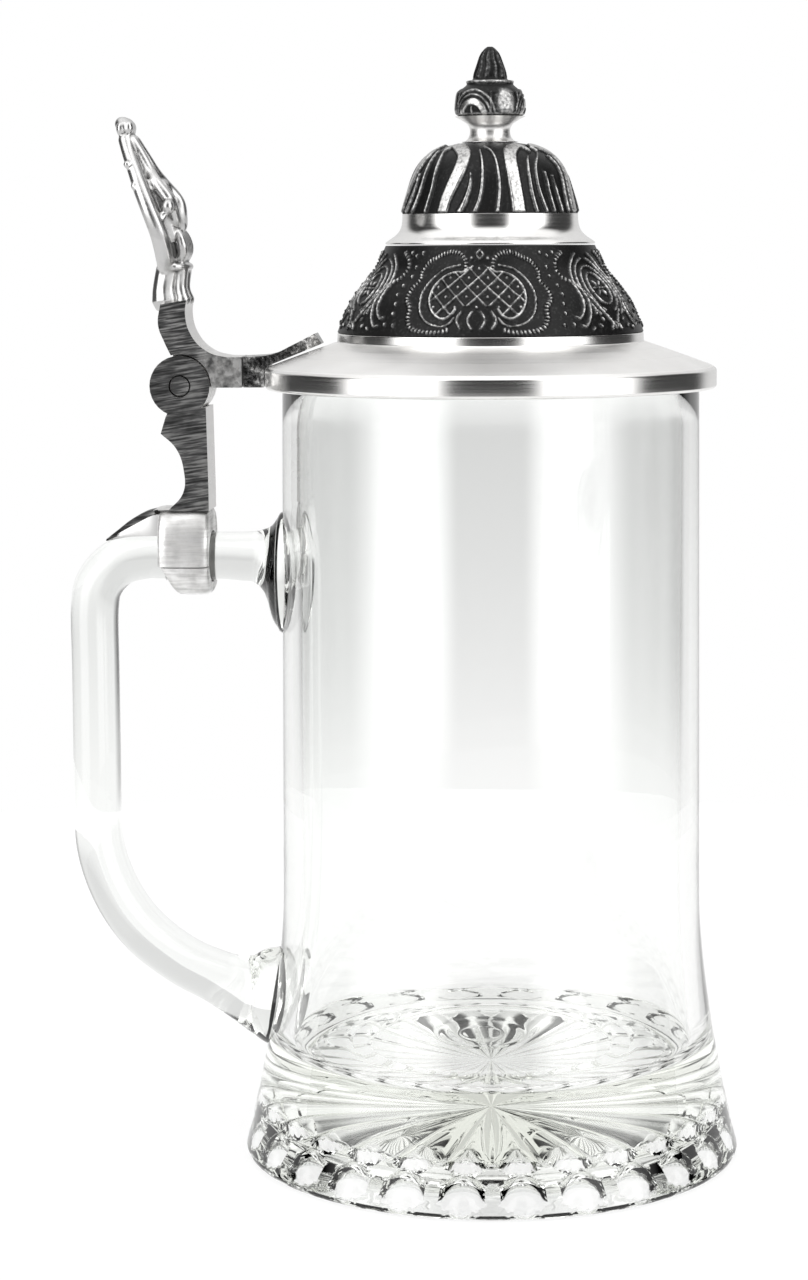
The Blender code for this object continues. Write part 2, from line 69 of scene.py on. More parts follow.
def arc(centre, radius, start_deg, end_deg, count):
    """Points along an arc between two angles, both ends included."""
    angles = np.radians(np.linspace(start_deg, end_deg, count))
    return [(centre[0] + radius * math.cos(a), centre[1] + radius * math.sin(a)) for a in angles]


def flow(points, per_span=6):
    """A smooth curve through points of any dimension, as a Catmull-Rom spline."""
    given = np.array(points, float)
    last = len(given) - 1
    out = []
    for i in range(last):
        a, b, c, d = (given[min(max(i + k, 0), last)] for k in (-1, 0, 1, 2))
        bend = 2 * a - 5 * b + 4 * c - d
        twist = 3 * b - a - 3 * c + d
        for step in range(per_span):
            t = step / per_span
            out.append(0.5 * (2 * b + (c - a) * t + bend * t**2 + twist * t**3))
    out.append(given[-1])
    return np.array(out)


def soften(profile, radius, closed=True):
    """The same profile with each corner rounded by a curve of five points."""
    given = [np.array(point, float) for point in profile]
    count = len(given)
    out = []
    for i, corner in enumerate(given):
        if not closed and i in (0, count - 1):
            out.append(corner)
            continue
        back = given[i - 1] - corner
        ahead = given[(i + 1) % count] - corner
        cut = min(radius, 0.45 * np.linalg.norm(back), 0.45 * np.linalg.norm(ahead))
        start = corner + back / np.linalg.norm(back) * cut
        end = corner + ahead / np.linalg.norm(ahead) * cut
        for t in np.linspace(0, 1, 5):
            out.append((1 - t) ** 2 * start + 2 * t * (1 - t) * corner + t**2 * end)
    return np.array(out)


def resample(points, count):
    """Points spaced evenly along a line."""
    line = np.array(points, float)
    steps = np.linalg.norm(np.diff(line, axis=0), axis=1)
    along = np.concatenate([[0], np.cumsum(steps)])
    wanted = np.linspace(0, along[-1], count)
    return np.stack([np.interp(wanted, along, line[:, k]) for k in range(line.shape[1])], axis=1)


def length_of(line):
    return float(np.sum(np.linalg.norm(np.diff(line, axis=0), axis=1)))


def ways_along(line):
    """Unit vectors along a line of points."""
    ways = np.gradient(line, axis=0)
    return ways / np.linalg.norm(ways, axis=1)[:, None]


def outward(line):
    """Unit vectors at right angles to a profile that runs down its outer side."""
    ways = ways_along(line)
    return np.stack([-ways[:, 1], ways[:, 0]], axis=1)


def blend_step(value):
    """0 below 0, 1 above 1 and a smooth rise between."""
    t = np.clip(value, 0, 1)
    return t * t * (3 - 2 * t)


# ---- meshes


SHARP_DEG = 38


def new_object(name, data):
    made = bpy.data.objects.new(name, data)
    bpy.context.scene.collection.objects.link(made)
    return made


def mesh_about_axis(name, vertices, faces):
    """A mesh from places in millimetres about the mug's axis."""
    mesh = bpy.data.meshes.new(name)
    placed = (np.asarray(vertices, float) + (AXIS_X, 0, 0)) * MM
    mesh.from_pydata(placed.tolist(), [], [list(map(int, face)) for face in faces])
    return mesh


def shade(mesh, sharp_deg):
    mesh.shade_smooth()
    mesh.set_sharp_from_angle(angle=math.radians(sharp_deg))


def take_modifiers(piece):
    """Give a piece the mesh that its modifiers make, and drop them."""
    graph = bpy.context.evaluated_depsgraph_get()
    mesh = bpy.data.meshes.new_from_object(piece.evaluated_get(graph))
    piece.modifiers.clear()
    piece.data = mesh
    return mesh


def enter(piece, body, stands_for):
    """Tell the frame the body a piece rides and the nodes it replaces."""
    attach(piece, body)
    if stands_for:
        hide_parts(*stands_for)


def add_piece(name, vertices, faces, body, material, stands_for=(), sharp_deg=SHARP_DEG, relief=None):
    """A mesh piece. Without a body it is only raw stock for another piece."""
    mesh = mesh_about_axis(name, vertices, faces)
    if relief is not None:
        layer = mesh.attributes.new("relief", "FLOAT", "POINT")
        layer.data.foreach_set("value", np.asarray(relief, np.float32).ravel())
    mesh.materials.append(material)
    shade(mesh, sharp_deg)
    piece = new_object(name, mesh)
    bpy.context.view_layer.update()
    if body:
        enter(piece, body, stands_for)
    return piece


def grid_faces(rows, columns, wrap_rows=False):
    """Quads over a grid of points, facing outward on a turned shape whose rows run down."""
    row_count = rows if wrap_rows else rows - 1
    j, i = np.meshgrid(np.arange(row_count), np.arange(columns), indexing="ij")
    below = (j + 1) % rows
    beside = (i + 1) % columns
    quads = [j * columns + i, below * columns + i, below * columns + beside, j * columns + beside]
    return np.stack([q.ravel() for q in quads], axis=1)


def tube_faces(rings, sides, start=0):
    """Faces over rings of points, closed at both ends."""
    faces = (grid_faces(rings, sides) + start).tolist()
    faces.append([start + i for i in range(sides)])
    faces.append([start + (rings - 1) * sides + i for i in reversed(range(sides))])
    return faces


def turned_rows(line, columns):
    """The radius and the height of a profile at every column of its turn."""
    line = np.asarray(line, float)
    return np.repeat(line[:, :1], columns, axis=1), np.repeat(line[:, 1:], columns, axis=1)


def turned_solid(radius, height, ring):
    """Vertices and faces of a turned solid: a ring, or a solid closed on its axis."""
    rows, columns = radius.shape
    angles = 2 * math.pi * np.arange(columns) / columns
    vertices = np.stack([radius * np.cos(angles), radius * np.sin(angles), height], axis=2).reshape(-1, 3)
    faces = grid_faces(rows, columns, wrap_rows=ring).tolist()
    if not ring:
        top, bottom = len(vertices), len(vertices) + 1
        poles = [(0, 0, float(np.mean(height[0]))), (0, 0, float(np.mean(height[-1])))]
        vertices = np.vstack([vertices, poles])
        last = (rows - 1) * columns
        for i in range(columns):
            beside = (i + 1) % columns
            faces.append((top, i, beside))
            faces.append((bottom, last + beside, last + i))
    return vertices, faces


def lathe(name, profile, columns, material, stands_for, ring=True):
    """A plain turned piece of the lid, its profile of (radius, height) running down outside."""
    vertices, faces = turned_solid(*turned_rows(profile, columns), ring)
    return add_piece(name, vertices, faces, "lid", material, stands_for)


# ---- raised ornament


ROPE_PITCH = 0.7
ROPE_GRAIN = (0.24, 0.52)
ROPE_SLANT_DEG = 14
LATTICE_REACH = 0.17 + 0.14


class Relief:
    """Ornament drawn as heights from 0 to 1 on a grid in millimetres whose rows run down."""

    def __init__(self, x, y):
        self.x = x
        self.y = y
        self.height = np.zeros((len(y), len(x)))

    def window(self, low, high):
        """The part of the grid inside a box."""
        columns = slice(*np.searchsorted(self.x, (low[0], high[0])))
        rows = slice(*(len(self.y) - np.searchsorted(self.y[::-1], (high[1], low[1]))))
        return rows, columns

    def raise_to(self, rows, columns, raised):
        self.height[rows, columns] = np.maximum(self.height[rows, columns], raised)

    def stroke(self, points, half_width, soft=0.16, crown=0.8):
        """A raised line. A third number on a point is its share of the half width."""
        full = [(*point[:2], point[2] if len(point) > 2 else 1.0) for point in points]
        line = flow(full)
        for start, end in zip(line[:-1], line[1:]):
            reach = half_width * max(start[2], end[2]) + soft
            low = np.minimum(start[:2], end[:2]) - reach
            high = np.maximum(start[:2], end[:2]) + reach
            rows, columns = self.window(low, high)
            x, y = np.meshgrid(self.x[columns], self.y[rows])
            span = end[:2] - start[:2]
            length2 = max(float(span @ span), 1e-9)
            t = np.clip(((x - start[0]) * span[0] + (y - start[1]) * span[1]) / length2, 0, 1)
            distance = np.hypot(x - start[0] - t * span[0], y - start[1] - t * span[1])
            width = half_width * (start[2] + (end[2] - start[2]) * t)
            self.raise_to(rows, columns, blend_step((width + soft - distance) / (soft + crown * width)))

    def dot(self, x, y, across=0.32, along=0.32, turn_deg=0.0):
        """A raised seed, longer one way if along is more than across."""
        reach = max(across, along) * 1.6
        rows, columns = self.window((x - reach, y - reach), (x + reach, y + reach))
        gx, gy = np.meshgrid(self.x[columns] - x, self.y[rows] - y)
        turn = math.radians(turn_deg)
        u = gx * math.cos(turn) + gy * math.sin(turn)
        v = gy * math.cos(turn) - gx * math.sin(turn)
        self.raise_to(rows, columns, blend_step(1.5 - np.hypot(u / across, v / along) * 1.1))

    def rope(self, points):
        """A border of short slanting grains along a curve."""
        curve = flow(points, 12)
        beads = resample(curve, int(length_of(curve) / ROPE_PITCH))
        ways = np.gradient(beads, axis=0)
        for place, way in zip(beads, ways):
            heading = math.degrees(math.atan2(way[1], way[0]))
            self.dot(*place, *ROPE_GRAIN, heading + ROPE_SLANT_DEG)

    def lattice(self, outline, cell_x, cell_y, centre_y):
        """Crossing slanted lines with a seed in each cell, kept inside an outline."""
        x, y = np.meshgrid(self.x, self.y)
        inside = polygon_mask(x, y, outline)
        rise = (y - centre_y) / cell_y
        scale = 1 / math.hypot(1 / cell_x, 1 / cell_y)
        seed_u = x / cell_x + rise
        seed_v = x / cell_x - rise
        to_line = np.minimum(abs(seed_u - np.round(seed_u)), abs(seed_v - np.round(seed_v))) * scale
        lines = blend_step((LATTICE_REACH - to_line) / LATTICE_REACH)
        off_u = (seed_u - np.floor(seed_u) - 0.5) * scale
        off_v = (seed_v - np.floor(seed_v) - 0.5) * scale
        seeds = blend_step(1.4 - np.hypot(off_u, off_v) / 0.3)
        self.height = np.where(inside, np.maximum(self.height, np.maximum(lines, seeds)), self.height)


def polygon_mask(x, y, outline):
    """True where a place lies inside a closed outline."""
    inside = np.zeros(x.shape, bool)
    count = len(outline)
    for i in range(count):
        x0, y0 = outline[i][:2]
        x1, y1 = outline[(i + 1) % count][:2]
        if y0 == y1:
            continue
        crosses = (y0 > y) != (y1 > y)
        at = x0 + (y - y0) * (x1 - x0) / (y1 - y0)
        inside ^= crosses & (x < at)
    return inside


# ---- materials


class Nodes:
    """A node tree with short calls to build it."""

    def __init__(self, tree):
        self.tree = tree

    def fill(self, node, sockets):
        """Give each named input a constant, or a link from another node's output."""
        for key, value in sockets.items():
            if isinstance(value, bpy.types.NodeSocket):
                self.tree.links.new(value, node.inputs[key])
            else:
                node.inputs[key].default_value = value

    def node(self, kind, sockets=None, **settings):
        made = self.tree.nodes.new(kind)
        for key, value in settings.items():
            setattr(made, key, value)
        self.fill(made, sockets or {})
        return made

    def math(self, operation, first, second=0.0):
        return self.node("ShaderNodeMath", {0: first, 1: second}, operation=operation).outputs[0]

    def ramp(self, factor, stops):
        """Colours along a factor; each stop is (position, (r, g, b))."""
        made = self.node("ShaderNodeValToRGB", {"Fac": factor})
        elements = made.color_ramp.elements
        while len(elements) < len(stops):
            elements.new(0.5)
        for element, (position, colour) in zip(elements, stops):
            element.position = position
            element.color = (*colour, 1.0)
        return made.outputs["Color"]

    def split(self, vector):
        """The X, Y and Z of a vector."""
        return self.node("ShaderNodeSeparateXYZ", {"Vector": vector}).outputs


class Shading(Nodes):
    """A material round one Principled shader."""

    def __init__(self, name, metallic=1.0):
        self.material = bpy.data.materials.new(name)
        self.material.use_nodes = True
        super().__init__(self.material.node_tree)
        self.set(Metallic=metallic)
        self.coordinates = self.node("ShaderNodeTexCoord").outputs["Object"]

    def set(self, **values):
        """Constants or links for the shader's own sockets."""
        sockets = {key.replace("_", " "): value for key, value in values.items()}
        self.fill(self.tree.nodes["Principled BSDF"], sockets)

    def noise(self, scale, stretch=(1, 1, 1), detail=4.0, vector=None):
        """Noise over the object, its scale in cells per metre, stretched along the axes."""
        mapping = self.node("ShaderNodeMapping", {"Scale": stretch, "Vector": vector or self.coordinates})
        sockets = {"Scale": scale, "Detail": detail, "Vector": mapping.outputs["Vector"]}
        return self.node("ShaderNodeTexNoise", sockets).outputs["Fac"]

    def lathe_rings(self, scale, detail):
        """Noise on (distance from the mug's axis, 0, height), so that it runs round the piece."""
        parts = self.split(self.coordinates)
        from_axis = self.math("SUBTRACT", parts["X"], AXIS_X * MM)
        flat = self.node("ShaderNodeCombineXYZ", {"X": from_axis, "Y": parts["Y"]})
        length = self.node("ShaderNodeVectorMath", {0: flat.outputs["Vector"]}, operation="LENGTH")
        place = self.node("ShaderNodeCombineXYZ", {"X": length.outputs["Value"], "Z": parts["Z"]})
        return self.noise(scale, detail=detail, vector=place.outputs["Vector"])

    def attribute(self, label):
        return self.node("ShaderNodeAttribute", attribute_name=label).outputs["Fac"]

    def span(self, factor, low, high, source_low, source_high):
        """The factor mapped from one range to another."""
        limits = {"From Min": source_low, "From Max": source_high, "To Min": low, "To Max": high}
        return self.node("ShaderNodeMapRange", {"Value": factor, **limits}).outputs["Result"]

    def varied(self, factor, other, low, high, source_low=0.3, source_high=0.7):
        """A factor with a share of another one added."""
        return self.math("ADD", factor, self.span(other, low, high, source_low, source_high))

    def bump(self, height, strength, distance_mm):
        sockets = {"Strength": strength, "Distance": distance_mm * MM, "Height": height}
        self.set(Normal=self.node("ShaderNodeBump", sockets).outputs["Normal"])

    def colour(self, factor, stops):
        self.set(Base_Color=self.ramp(factor, stops))

    def roughness(self, factor, low, high, source_low=0.3, source_high=0.7):
        self.set(Roughness=self.span(factor, low, high, source_low, source_high))


def grey(value, warmth=0.0):
    return (value, value * (1 - 0.4 * warmth), value * (1 - warmth))


def glass_material():
    """Clear pressed glass: faintly green where thick, with the soft waves of a mould."""
    look = Shading("pressed_glass", metallic=0.0)
    look.set(Transmission_Weight=1.0, IOR=1.5)
    wave = look.noise(14, stretch=(1, 1, 0.35), detail=1.5)
    look.colour(wave, [(0.3, (0.985, 0.995, 0.988)), (0.7, (1.0, 1.0, 1.0))])
    look.roughness(look.noise(900, detail=2), 0.0, 0.012, 0.45, 0.9)
    look.bump(wave, 0.12, 1.0)
    tint = {"Color": (0.84, 0.86, 0.78, 1.0), "Density": 10.0}
    absorb = look.node("ShaderNodeVolumeAbsorption", tint)
    look.fill(look.tree.nodes["Material Output"], {"Volume": absorb.outputs["Volume"]})
    return look.material


def turned_pewter(name, ring_scale, cloud_scale, detail, dark, roughness, bump):
    """Lathe rings in the roughness and the bump, and soft clouds in the colour."""
    look = Shading(name)
    rings = look.lathe_rings(ring_scale, detail)
    cloud = look.noise(cloud_scale, detail=detail)
    look.colour(cloud, [(0.3, grey(dark, 0.03)), (0.7, grey(dark + 0.08, 0.02))])
    look.roughness(rings, *roughness)
    look.bump(rings, bump, 0.02)
    return look.material


def polished_pewter():
    """Bright turned pewter with faint lathe rings."""
    return turned_pewter("polished_pewter", 5200, 140, 3, 0.80, (0.13, 0.27, 0.3, 0.75), 0.12)


def worn_polish():
    """Polished pewter gone a little dull from handling."""
    return turned_pewter("worn_polish", 3200, 240, 3, 0.78, (0.3, 0.4, 0.3, 0.75), 0.12)


def satin_pewter():
    """Brushed pewter: fine rings with a broad soft shine."""
    return turned_pewter("satin_pewter", 7000, 90, 4, 0.84, (0.26, 0.46), 0.35)


def relief_pewter():
    """Cast relief: bright on its raised lines and blackened in the ground."""
    look = Shading("patinated_pewter")
    raised = look.attribute("relief")
    wear = look.noise(1700, detail=4)
    level = look.varied(raised, wear, -0.3, 0.2)
    look.colour(level, [
        (0.0, grey(0.01)), (0.3, grey(0.035)), (0.6, grey(0.16)), (0.85, grey(0.36, 0.02)),
        (1.0, grey(0.56, 0.02)),
    ])
    look.set(Metallic=look.span(level, 0.75, 1.0, 0.2, 0.6))
    look.roughness(level, 0.42, 0.3, 0.3, 0.9)
    look.bump(look.noise(1800, detail=4), 0.25, 0.05)
    return look.material


def filed_pewter():
    """Side faces of the hinge, dark with painted shade, with the fine slanting lines that a file leaves."""
    look = Shading("filed_pewter")
    level = filed_level(look)
    look.colour(level, [(0.36, grey(0.035)), (0.5, grey(0.105)), (0.68, grey(0.4, 0.02))])
    look.roughness(level, 0.5, 0.34)
    look.bump(level, 0.45, 0.06)
    return look.material


def filed_level(look):
    """Long thin stripes, a few degrees off level, and soft clouds between them."""
    turned = {"Rotation": (0, math.radians(8), 0), "Vector": look.coordinates}
    tilt = look.node("ShaderNodeMapping", turned)
    stripes = look.noise(2500, stretch=(0.07, 0.07, 1.0), detail=4, vector=tilt.outputs["Vector"])
    cloud = look.noise(150, detail=3)
    return look.varied(stripes, cloud, -0.09, 0.09)


def arm_pewter():
    """The lever: filed and dark with painted shade like the upright, but lighter and hammered where it nears
    the tang.
    """
    look = Shading("arm_pewter")
    filed_part = filed_level(look)
    lumps = look.noise(620, detail=5)
    place = look.split(look.coordinates)
    near_tang = look.span(place["X"], 0.0, 1.0, (AXIS_X - 58.2) * MM, (AXIS_X - 55.6) * MM)
    low_down = look.span(place["Z"], 1.0, 0.0, 160.5 * MM, 163.5 * MM)
    zone = look.math("MULTIPLY", near_tang, low_down)
    kept = look.math("MULTIPLY", filed_part, look.math("SUBTRACT", 1.0, zone))
    hammered = look.math("MULTIPLY", look.math("ADD", lumps, 0.19), zone)
    level = look.math("ADD", kept, hammered)
    look.colour(level, [
        (0.36, grey(0.035)), (0.5, grey(0.105)), (0.64, grey(0.42, 0.02)), (0.76, grey(0.85, 0.02)),
    ])
    look.roughness(level, 0.5, 0.3)
    look.bump(level, 0.5, 0.12)
    return look.material


def edge_pewter():
    """The hinge's narrow faces: a painted highlight, streaked and a little uneven."""
    look = Shading("edge_pewter")
    scrape = look.noise(500, stretch=(1, 0.15, 1), detail=4)
    look.colour(scrape, [(0.3, grey(0.62, 0.03)), (0.7, grey(0.8, 0.02))])
    look.roughness(scrape, 0.25, 0.42)
    look.bump(scrape, 0.3, 0.05)
    return look.material


def hammered_pewter():
    """The soldered tang: dark, shiny and lumpy, with bright flecks."""
    look = Shading("hammered_pewter")
    lumps = look.noise(520, detail=5)
    flecks = look.noise(1500, detail=3)
    level = look.varied(lumps, flecks, -0.1, 0.12, 0.35, 0.7)
    look.colour(level, [(0.38, grey(0.10)), (0.55, grey(0.26, 0.02)), (0.68, grey(0.8, 0.02))])
    look.roughness(lumps, 0.16, 0.34)
    look.bump(lumps, 0.8, 0.35)
    return look.material


def brushed_strap():
    """The strap round the handle: light, brushed crosswise and a little blotched."""
    look = Shading("brushed_strap", metallic=0.7)
    strokes = look.noise(2400, stretch=(0.08, 0.08, 1.0), detail=4)
    cloud = look.noise(260, detail=4)
    level = look.varied(cloud, strokes, -0.12, 0.12)
    look.colour(level, [(0.3, grey(0.5, 0.02)), (0.52, grey(0.72, 0.02)), (0.7, grey(0.92, 0.01))])
    look.roughness(level, 0.5, 0.3)
    look.bump(level, 0.35, 0.1)
    return look.material


def bright_casting():
    """Silver-white casting, smoother where it stands out, with painted shade greying its hollows."""
    look = Shading("bright_casting")
    skin = look.noise(300, detail=3)
    # Painted shade: the colour darkens with how deep each place lies in a hollow, plus random tone from the
    # skin noise.
    hollow_shade_and_tone = look.varied(look.attribute("hollow"), skin, -0.12, 0.12)
    look.colour(hollow_shade_and_tone, [
        (0.0, grey(0.56, 0.01)), (0.22, grey(0.4, 0.02)), (0.5, grey(0.2)), (0.9, grey(0.05)),
    ])
    look.roughness(hollow_shade_and_tone, 0.3, 0.5, 0.1, 0.7)
    look.bump(skin, 0.12, 0.15)
    return look.material


def steel_wire():
    """The hinge pin: drawn steel wire, marked along its length."""
    look = Shading("steel_wire")
    marks = look.noise(900, stretch=(1, 0.05, 1), detail=3)
    look.colour(marks, [(0.3, grey(0.5)), (0.7, grey(0.62))])
    look.roughness(marks, 0.2, 0.36)
    look.bump(marks, 0.2, 0.02)
    return look.material


# ---- glass


RIM_RADIUS = 41.2
BODY_TAPER = 0.008
FOOT_RADIUS = 50.0
FOOT_EDGE_Z = 1.2
FLARE_TOP = 52.0
FLARE_POWER = 1.6
RIM_Z = BODY_HIGH.z
INNER_RADIUS = 38.0
CAVITY_FLARE_SHARE = 0.8
FLOOR_Z = 21.0
FLOOR_FLAT_RADIUS = 35.2
FLOOR_RISE = 3.8
FLOOR_RIDGE = [
    (24.7, 0.4), (25.4, 0.75), (26.8, 0.9), (28.4, 0.7), (29.1, 0.2), (29.6, 0.0), (32.0, 0.0),
    (34.4, 0.05),
]
BEND_FIRST_DEG = -72
FOOT_RING_INNER = 46.5
LIP_RADIUS = 1.6
FOOT_ROUND = 1.3
GLASS_SHARP_DEG = 24
HUB_Z = 9.4
MARK_PLACE = (-2.6, 10.5)
FLOOR_DISH = 1.8
DISH_RADIUS = 24.4
PETALS = 24
PER_PETAL = 16
PETAL_TURN = 13
PRINT_MIDDLE = 42.4
PRINT_REACH = 3.5
PRINT_DEPTH = 1.9
ARCH_RADIUS = 32.5
ARCH_REACH = 6.2
PETAL_DEPTH = 2.2


def body_radius(z):
    """Outer radius of the glass at a height, as in the CAD."""
    flare = FOOT_RADIUS - RIM_RADIUS - BODY_TAPER * (RIM_Z - FOOT_EDGE_Z)
    share = np.clip((FLARE_TOP - np.asarray(z, float)) / (FLARE_TOP - FOOT_EDGE_Z), 0, None)
    return RIM_RADIUS + BODY_TAPER * (RIM_Z - z) + flare * share**FLARE_POWER


def cavity_radius(z):
    """Inner radius: straight, then widening a little with the foot."""
    widening = body_radius(np.minimum(z, FLARE_TOP)) - body_radius(FLARE_TOP)
    return INNER_RADIUS + CAVITY_FLARE_SHARE * widening


def glass_side_rows():
    """(radius, height) from the floor's middle up the inside, over the rim and down outside."""
    bend_top = FLOOR_Z + FLOOR_RISE
    first_turn = math.radians(BEND_FIRST_DEG)
    bend_width = (float(cavity_radius(bend_top)) - FLOOR_FLAT_RADIUS) / (1 - math.cos(first_turn))
    bend_middle = float(cavity_radius(bend_top)) - bend_width
    bend_height = FLOOR_RISE / -math.sin(first_turn)
    lip = ((INNER_RADIUS + RIM_RADIUS) / 2, RIM_Z - LIP_RADIUS)
    dish = np.linspace(0.6, DISH_RADIUS, 35)
    inside = [(r, FLOOR_Z - FLOOR_DISH * (1 - (r / DISH_RADIUS) ** 2)) for r in dish]
    inside += [(r, FLOOR_Z + rise) for r, rise in FLOOR_RIDGE]
    for turn in np.linspace(first_turn, 0, 12):
        inside.append((bend_middle + bend_width * math.cos(turn), bend_top + bend_height * math.sin(turn)))
    inside += [(float(cavity_radius(z)), z) for z in np.linspace(bend_top + 1.5, FLARE_TOP, 10)]
    inside += [(INNER_RADIUS, z) for z in np.linspace(FLARE_TOP + 8, RIM_Z - 8, 8)]
    rim = arc(lip, LIP_RADIUS, 180, 0, 9)
    outside = [(float(body_radius(z)), z) for z in np.linspace(RIM_Z - 8, FLARE_TOP, 9)]
    outside += [(float(body_radius(z)), z) for z in np.linspace(FLARE_TOP - 2.5, FOOT_EDGE_Z + 0.3, 20)]
    edge = arc((FOOT_RADIUS - FOOT_ROUND, FOOT_ROUND), FOOT_ROUND, 0, -90, 6)
    ring = [(48.0, 0.0), (47.2, 0.0), (FOOT_RING_INNER, 0.0)]
    return inside + rim + outside + edge + ring


def floor_marks(radius, height, columns):
    """Two faint rings pressed off centre into the floor."""
    turn = 2 * math.pi * np.arange(columns) / columns
    x = radius * np.cos(turn) - MARK_PLACE[0]
    y = radius * np.sin(turn) - MARK_PLACE[1]
    away = np.hypot(x, y)
    rings = 0.3 * blend_step((5.0 - away) / 1.0) + 0.2 * blend_step(1 - abs(away - 8.8) / 1.3)
    on_floor = (radius < DISH_RADIUS) & (height < FLOOR_Z + 0.01)
    return height + np.where(on_floor, rings, 0.0)


def star_rows(columns):
    """The hollow underside: thumbprints up its edge, then arched petals in to the hub."""
    across = np.abs(((np.arange(columns) + PETAL_TURN) % PER_PETAL) / PER_PETAL * 2 - 1)
    ridge = [
        (46.5, 0.0), (45.0, 1.3), (42.8, 3.3), (40.6, 4.9), (38.2, 6.0), (34.0, 6.9), (20.0, 8.1),
        (0.6, HUB_Z),
    ]
    line = resample(flow(ridge, 12), 96)[1:]
    into_glass = -outward(line)
    radius = line[:, :1]
    print_width = 0.5 + 0.32 * np.clip((radius - 38.6) / 5.5, 0, 1)
    off_middle = ((radius - PRINT_MIDDLE) / PRINT_REACH) ** 2 + (across / print_width) ** 2
    print_depth = PRINT_DEPTH * np.clip(1 - off_middle, 0, 1) ** 0.65
    arch = ARCH_RADIUS + ARCH_REACH * np.sqrt(1 - across**2)
    petal = PETAL_DEPTH * np.clip(radius / 32, 0, 1) * blend_step((arch - radius) / 0.9)
    depth = np.maximum(print_depth, petal * (1 - across**1.5))
    return radius + into_glass[:, :1] * depth, line[:, 1:] + into_glass[:, 1:] * depth


def make_glass_body(glass):
    columns = PETALS * PER_PETAL
    side_radius, side_height = turned_rows(glass_side_rows(), columns)
    star_radius, star_height = star_rows(columns)
    side_height = floor_marks(side_radius, side_height, columns)
    radius = np.vstack([side_radius, star_radius])
    height = np.vstack([side_height, star_height])
    vertices, faces = turned_solid(radius, height, ring=False)
    return add_piece("glass_mug", vertices, faces, None, glass, sharp_deg=GLASS_SHARP_DEG)


# (x, z, half height in the handle's plane, half width) along the bar's middle.
HANDLE_STATIONS = [
    (-36.0, 117.6, 12.6, 10.6), (-41.4, 117.6, 12.3, 9.8), (-42.6, 117.5, 11.2, 8.8),
    (-43.7, 117.7, 9.5, 7.8), (-44.5, 119.0, 7.7, 6.8), (-45.5, 120.0, 6.3, 6.3),
    (-47.0, 120.6, 5.35, 5.95), (-49.6, 120.7, 5.1, 5.8), (-54.0, 120.9, 4.85, 5.8),
    (-64.0, 120.9, 4.85, 5.8), (-69.6, 120.9, 4.85, 5.8), (-74.9, 119.5, 4.85, 5.8),
    (-78.7, 115.7, 4.85, 5.8), (-80.0, 110.4, 4.8, 5.8), (-80.05, 98.0, 4.75, 5.8),
    (-80.1, 82.0, 4.8, 5.8), (-80.15, 67.5, 4.85, 5.8), (-79.2, 59.0, 4.9, 5.8),
    (-75.8, 50.4, 5.0, 5.8), (-70.4, 43.2, 5.1, 5.9), (-62.9, 37.5, 5.15, 5.9),
    (-56.0, 34.2, 5.5, 6.0), (-51.4, 32.2, 6.6, 6.4), (-48.4, 30.9, 8.2, 7.2),
    (-45.6, 30.4, 9.8, 8.6), (-40.0, 30.2, 10.6, 10.0),
]


HANDLE_SIDES = 40
SEAT_DEPTH = 1.7
END_RINGS = 12


def make_glass_handle(glass):
    """The bar as a sweep of ovals whose ends are bent round inside the wall of the body."""
    line = flow(HANDLE_STATIONS)
    ways = ways_along(line[:, :2])
    level = blend_step((line[:, :1] + 55) / 9)
    ways = ways * (1 - level) + np.stack([np.sign(ways[:, 0]), 0 * ways[:, 0]], axis=1) * level
    ways /= np.linalg.norm(ways, axis=1)[:, None]
    angles = 2 * math.pi * np.arange(HANDLE_SIDES) / HANDLE_SIDES
    rings = []
    for (x, z, half_height, half_width), (way_x, way_z) in zip(line, ways):
        out = half_height * np.cos(angles)
        across = half_width * np.sin(angles)
        rings.append(np.stack([x - way_z * out, across, z + way_x * out], axis=1))
    rings = np.array(rings)
    seat = body_radius(rings[:, :, 2]) - SEAT_DEPTH
    reach = np.hypot(rings[:, :, 0], rings[:, :, 1])
    near = np.array([[row < END_RINGS or row > len(rings) - END_RINGS] for row in range(len(rings))])
    scale = np.where(near & (reach < seat), seat / reach, 1.0)
    rings[:, :, :2] *= scale[:, :, None]
    faces = tube_faces(len(rings), HANDLE_SIDES)
    return add_piece("handle_bar", rings.reshape(-1, 3), faces, None, glass)


def make_mug(glass):
    """Body and handle as one piece of glass."""
    mug = make_glass_body(glass)
    bar = make_glass_handle(glass)
    join = mug.modifiers.new("handle", "BOOLEAN")
    join.operation = "UNION"
    join.solver = "EXACT"
    join.object = bar
    shade(take_modifiers(mug), GLASS_SHARP_DEG)
    bpy.data.objects.remove(bar)
    enter(mug, "mug", ("glass_body", "glass_handle"))


# ---- lid


CONE_BOTTOM_Z = 158.75
CONE_TOP_Z = 164.0
CONE_FACING = 0.75


def make_lid_plate(polished, satin):
    """Brim, cone and seat: one turned piece, polished at its edge and seat."""
    profile = [
        (30.2, 165.6), (30.25, 163.75), (30.9, 163.55), (36.9, 161.45), (43.7, 158.95),
        (44.6, 158.3), (44.6, 155.0), (44.2, 154.6), (42.6, 154.6), (42.3, 156.3), (37.0, 156.3),
        (35.6, 159.2), (28.6, 162.0), (28.4, 165.6),
    ]
    mesh = lathe("lid_brim", soften(profile, 0.35), 256, polished, ("lid_plate",)).data
    mesh.materials.append(satin)
    for face in mesh.polygons:
        if face.normal.z > CONE_FACING and CONE_BOTTOM_Z < face.center.z / MM < CONE_TOP_Z:
            face.material_index = 1


def band_line(count):
    """The outer line of the relief band, from top to bottom."""
    points = [
        (20.6, 182.5), (20.9, 181.8), (21.5, 180.4), (22.3, 178.5), (23.6, 176.7), (25.6, 174.3),
        (27.4, 171.8), (28.7, 169.2), (29.6, 167.2), (30.2, 165.7),
    ]
    return resample(flow(points, 8), count)


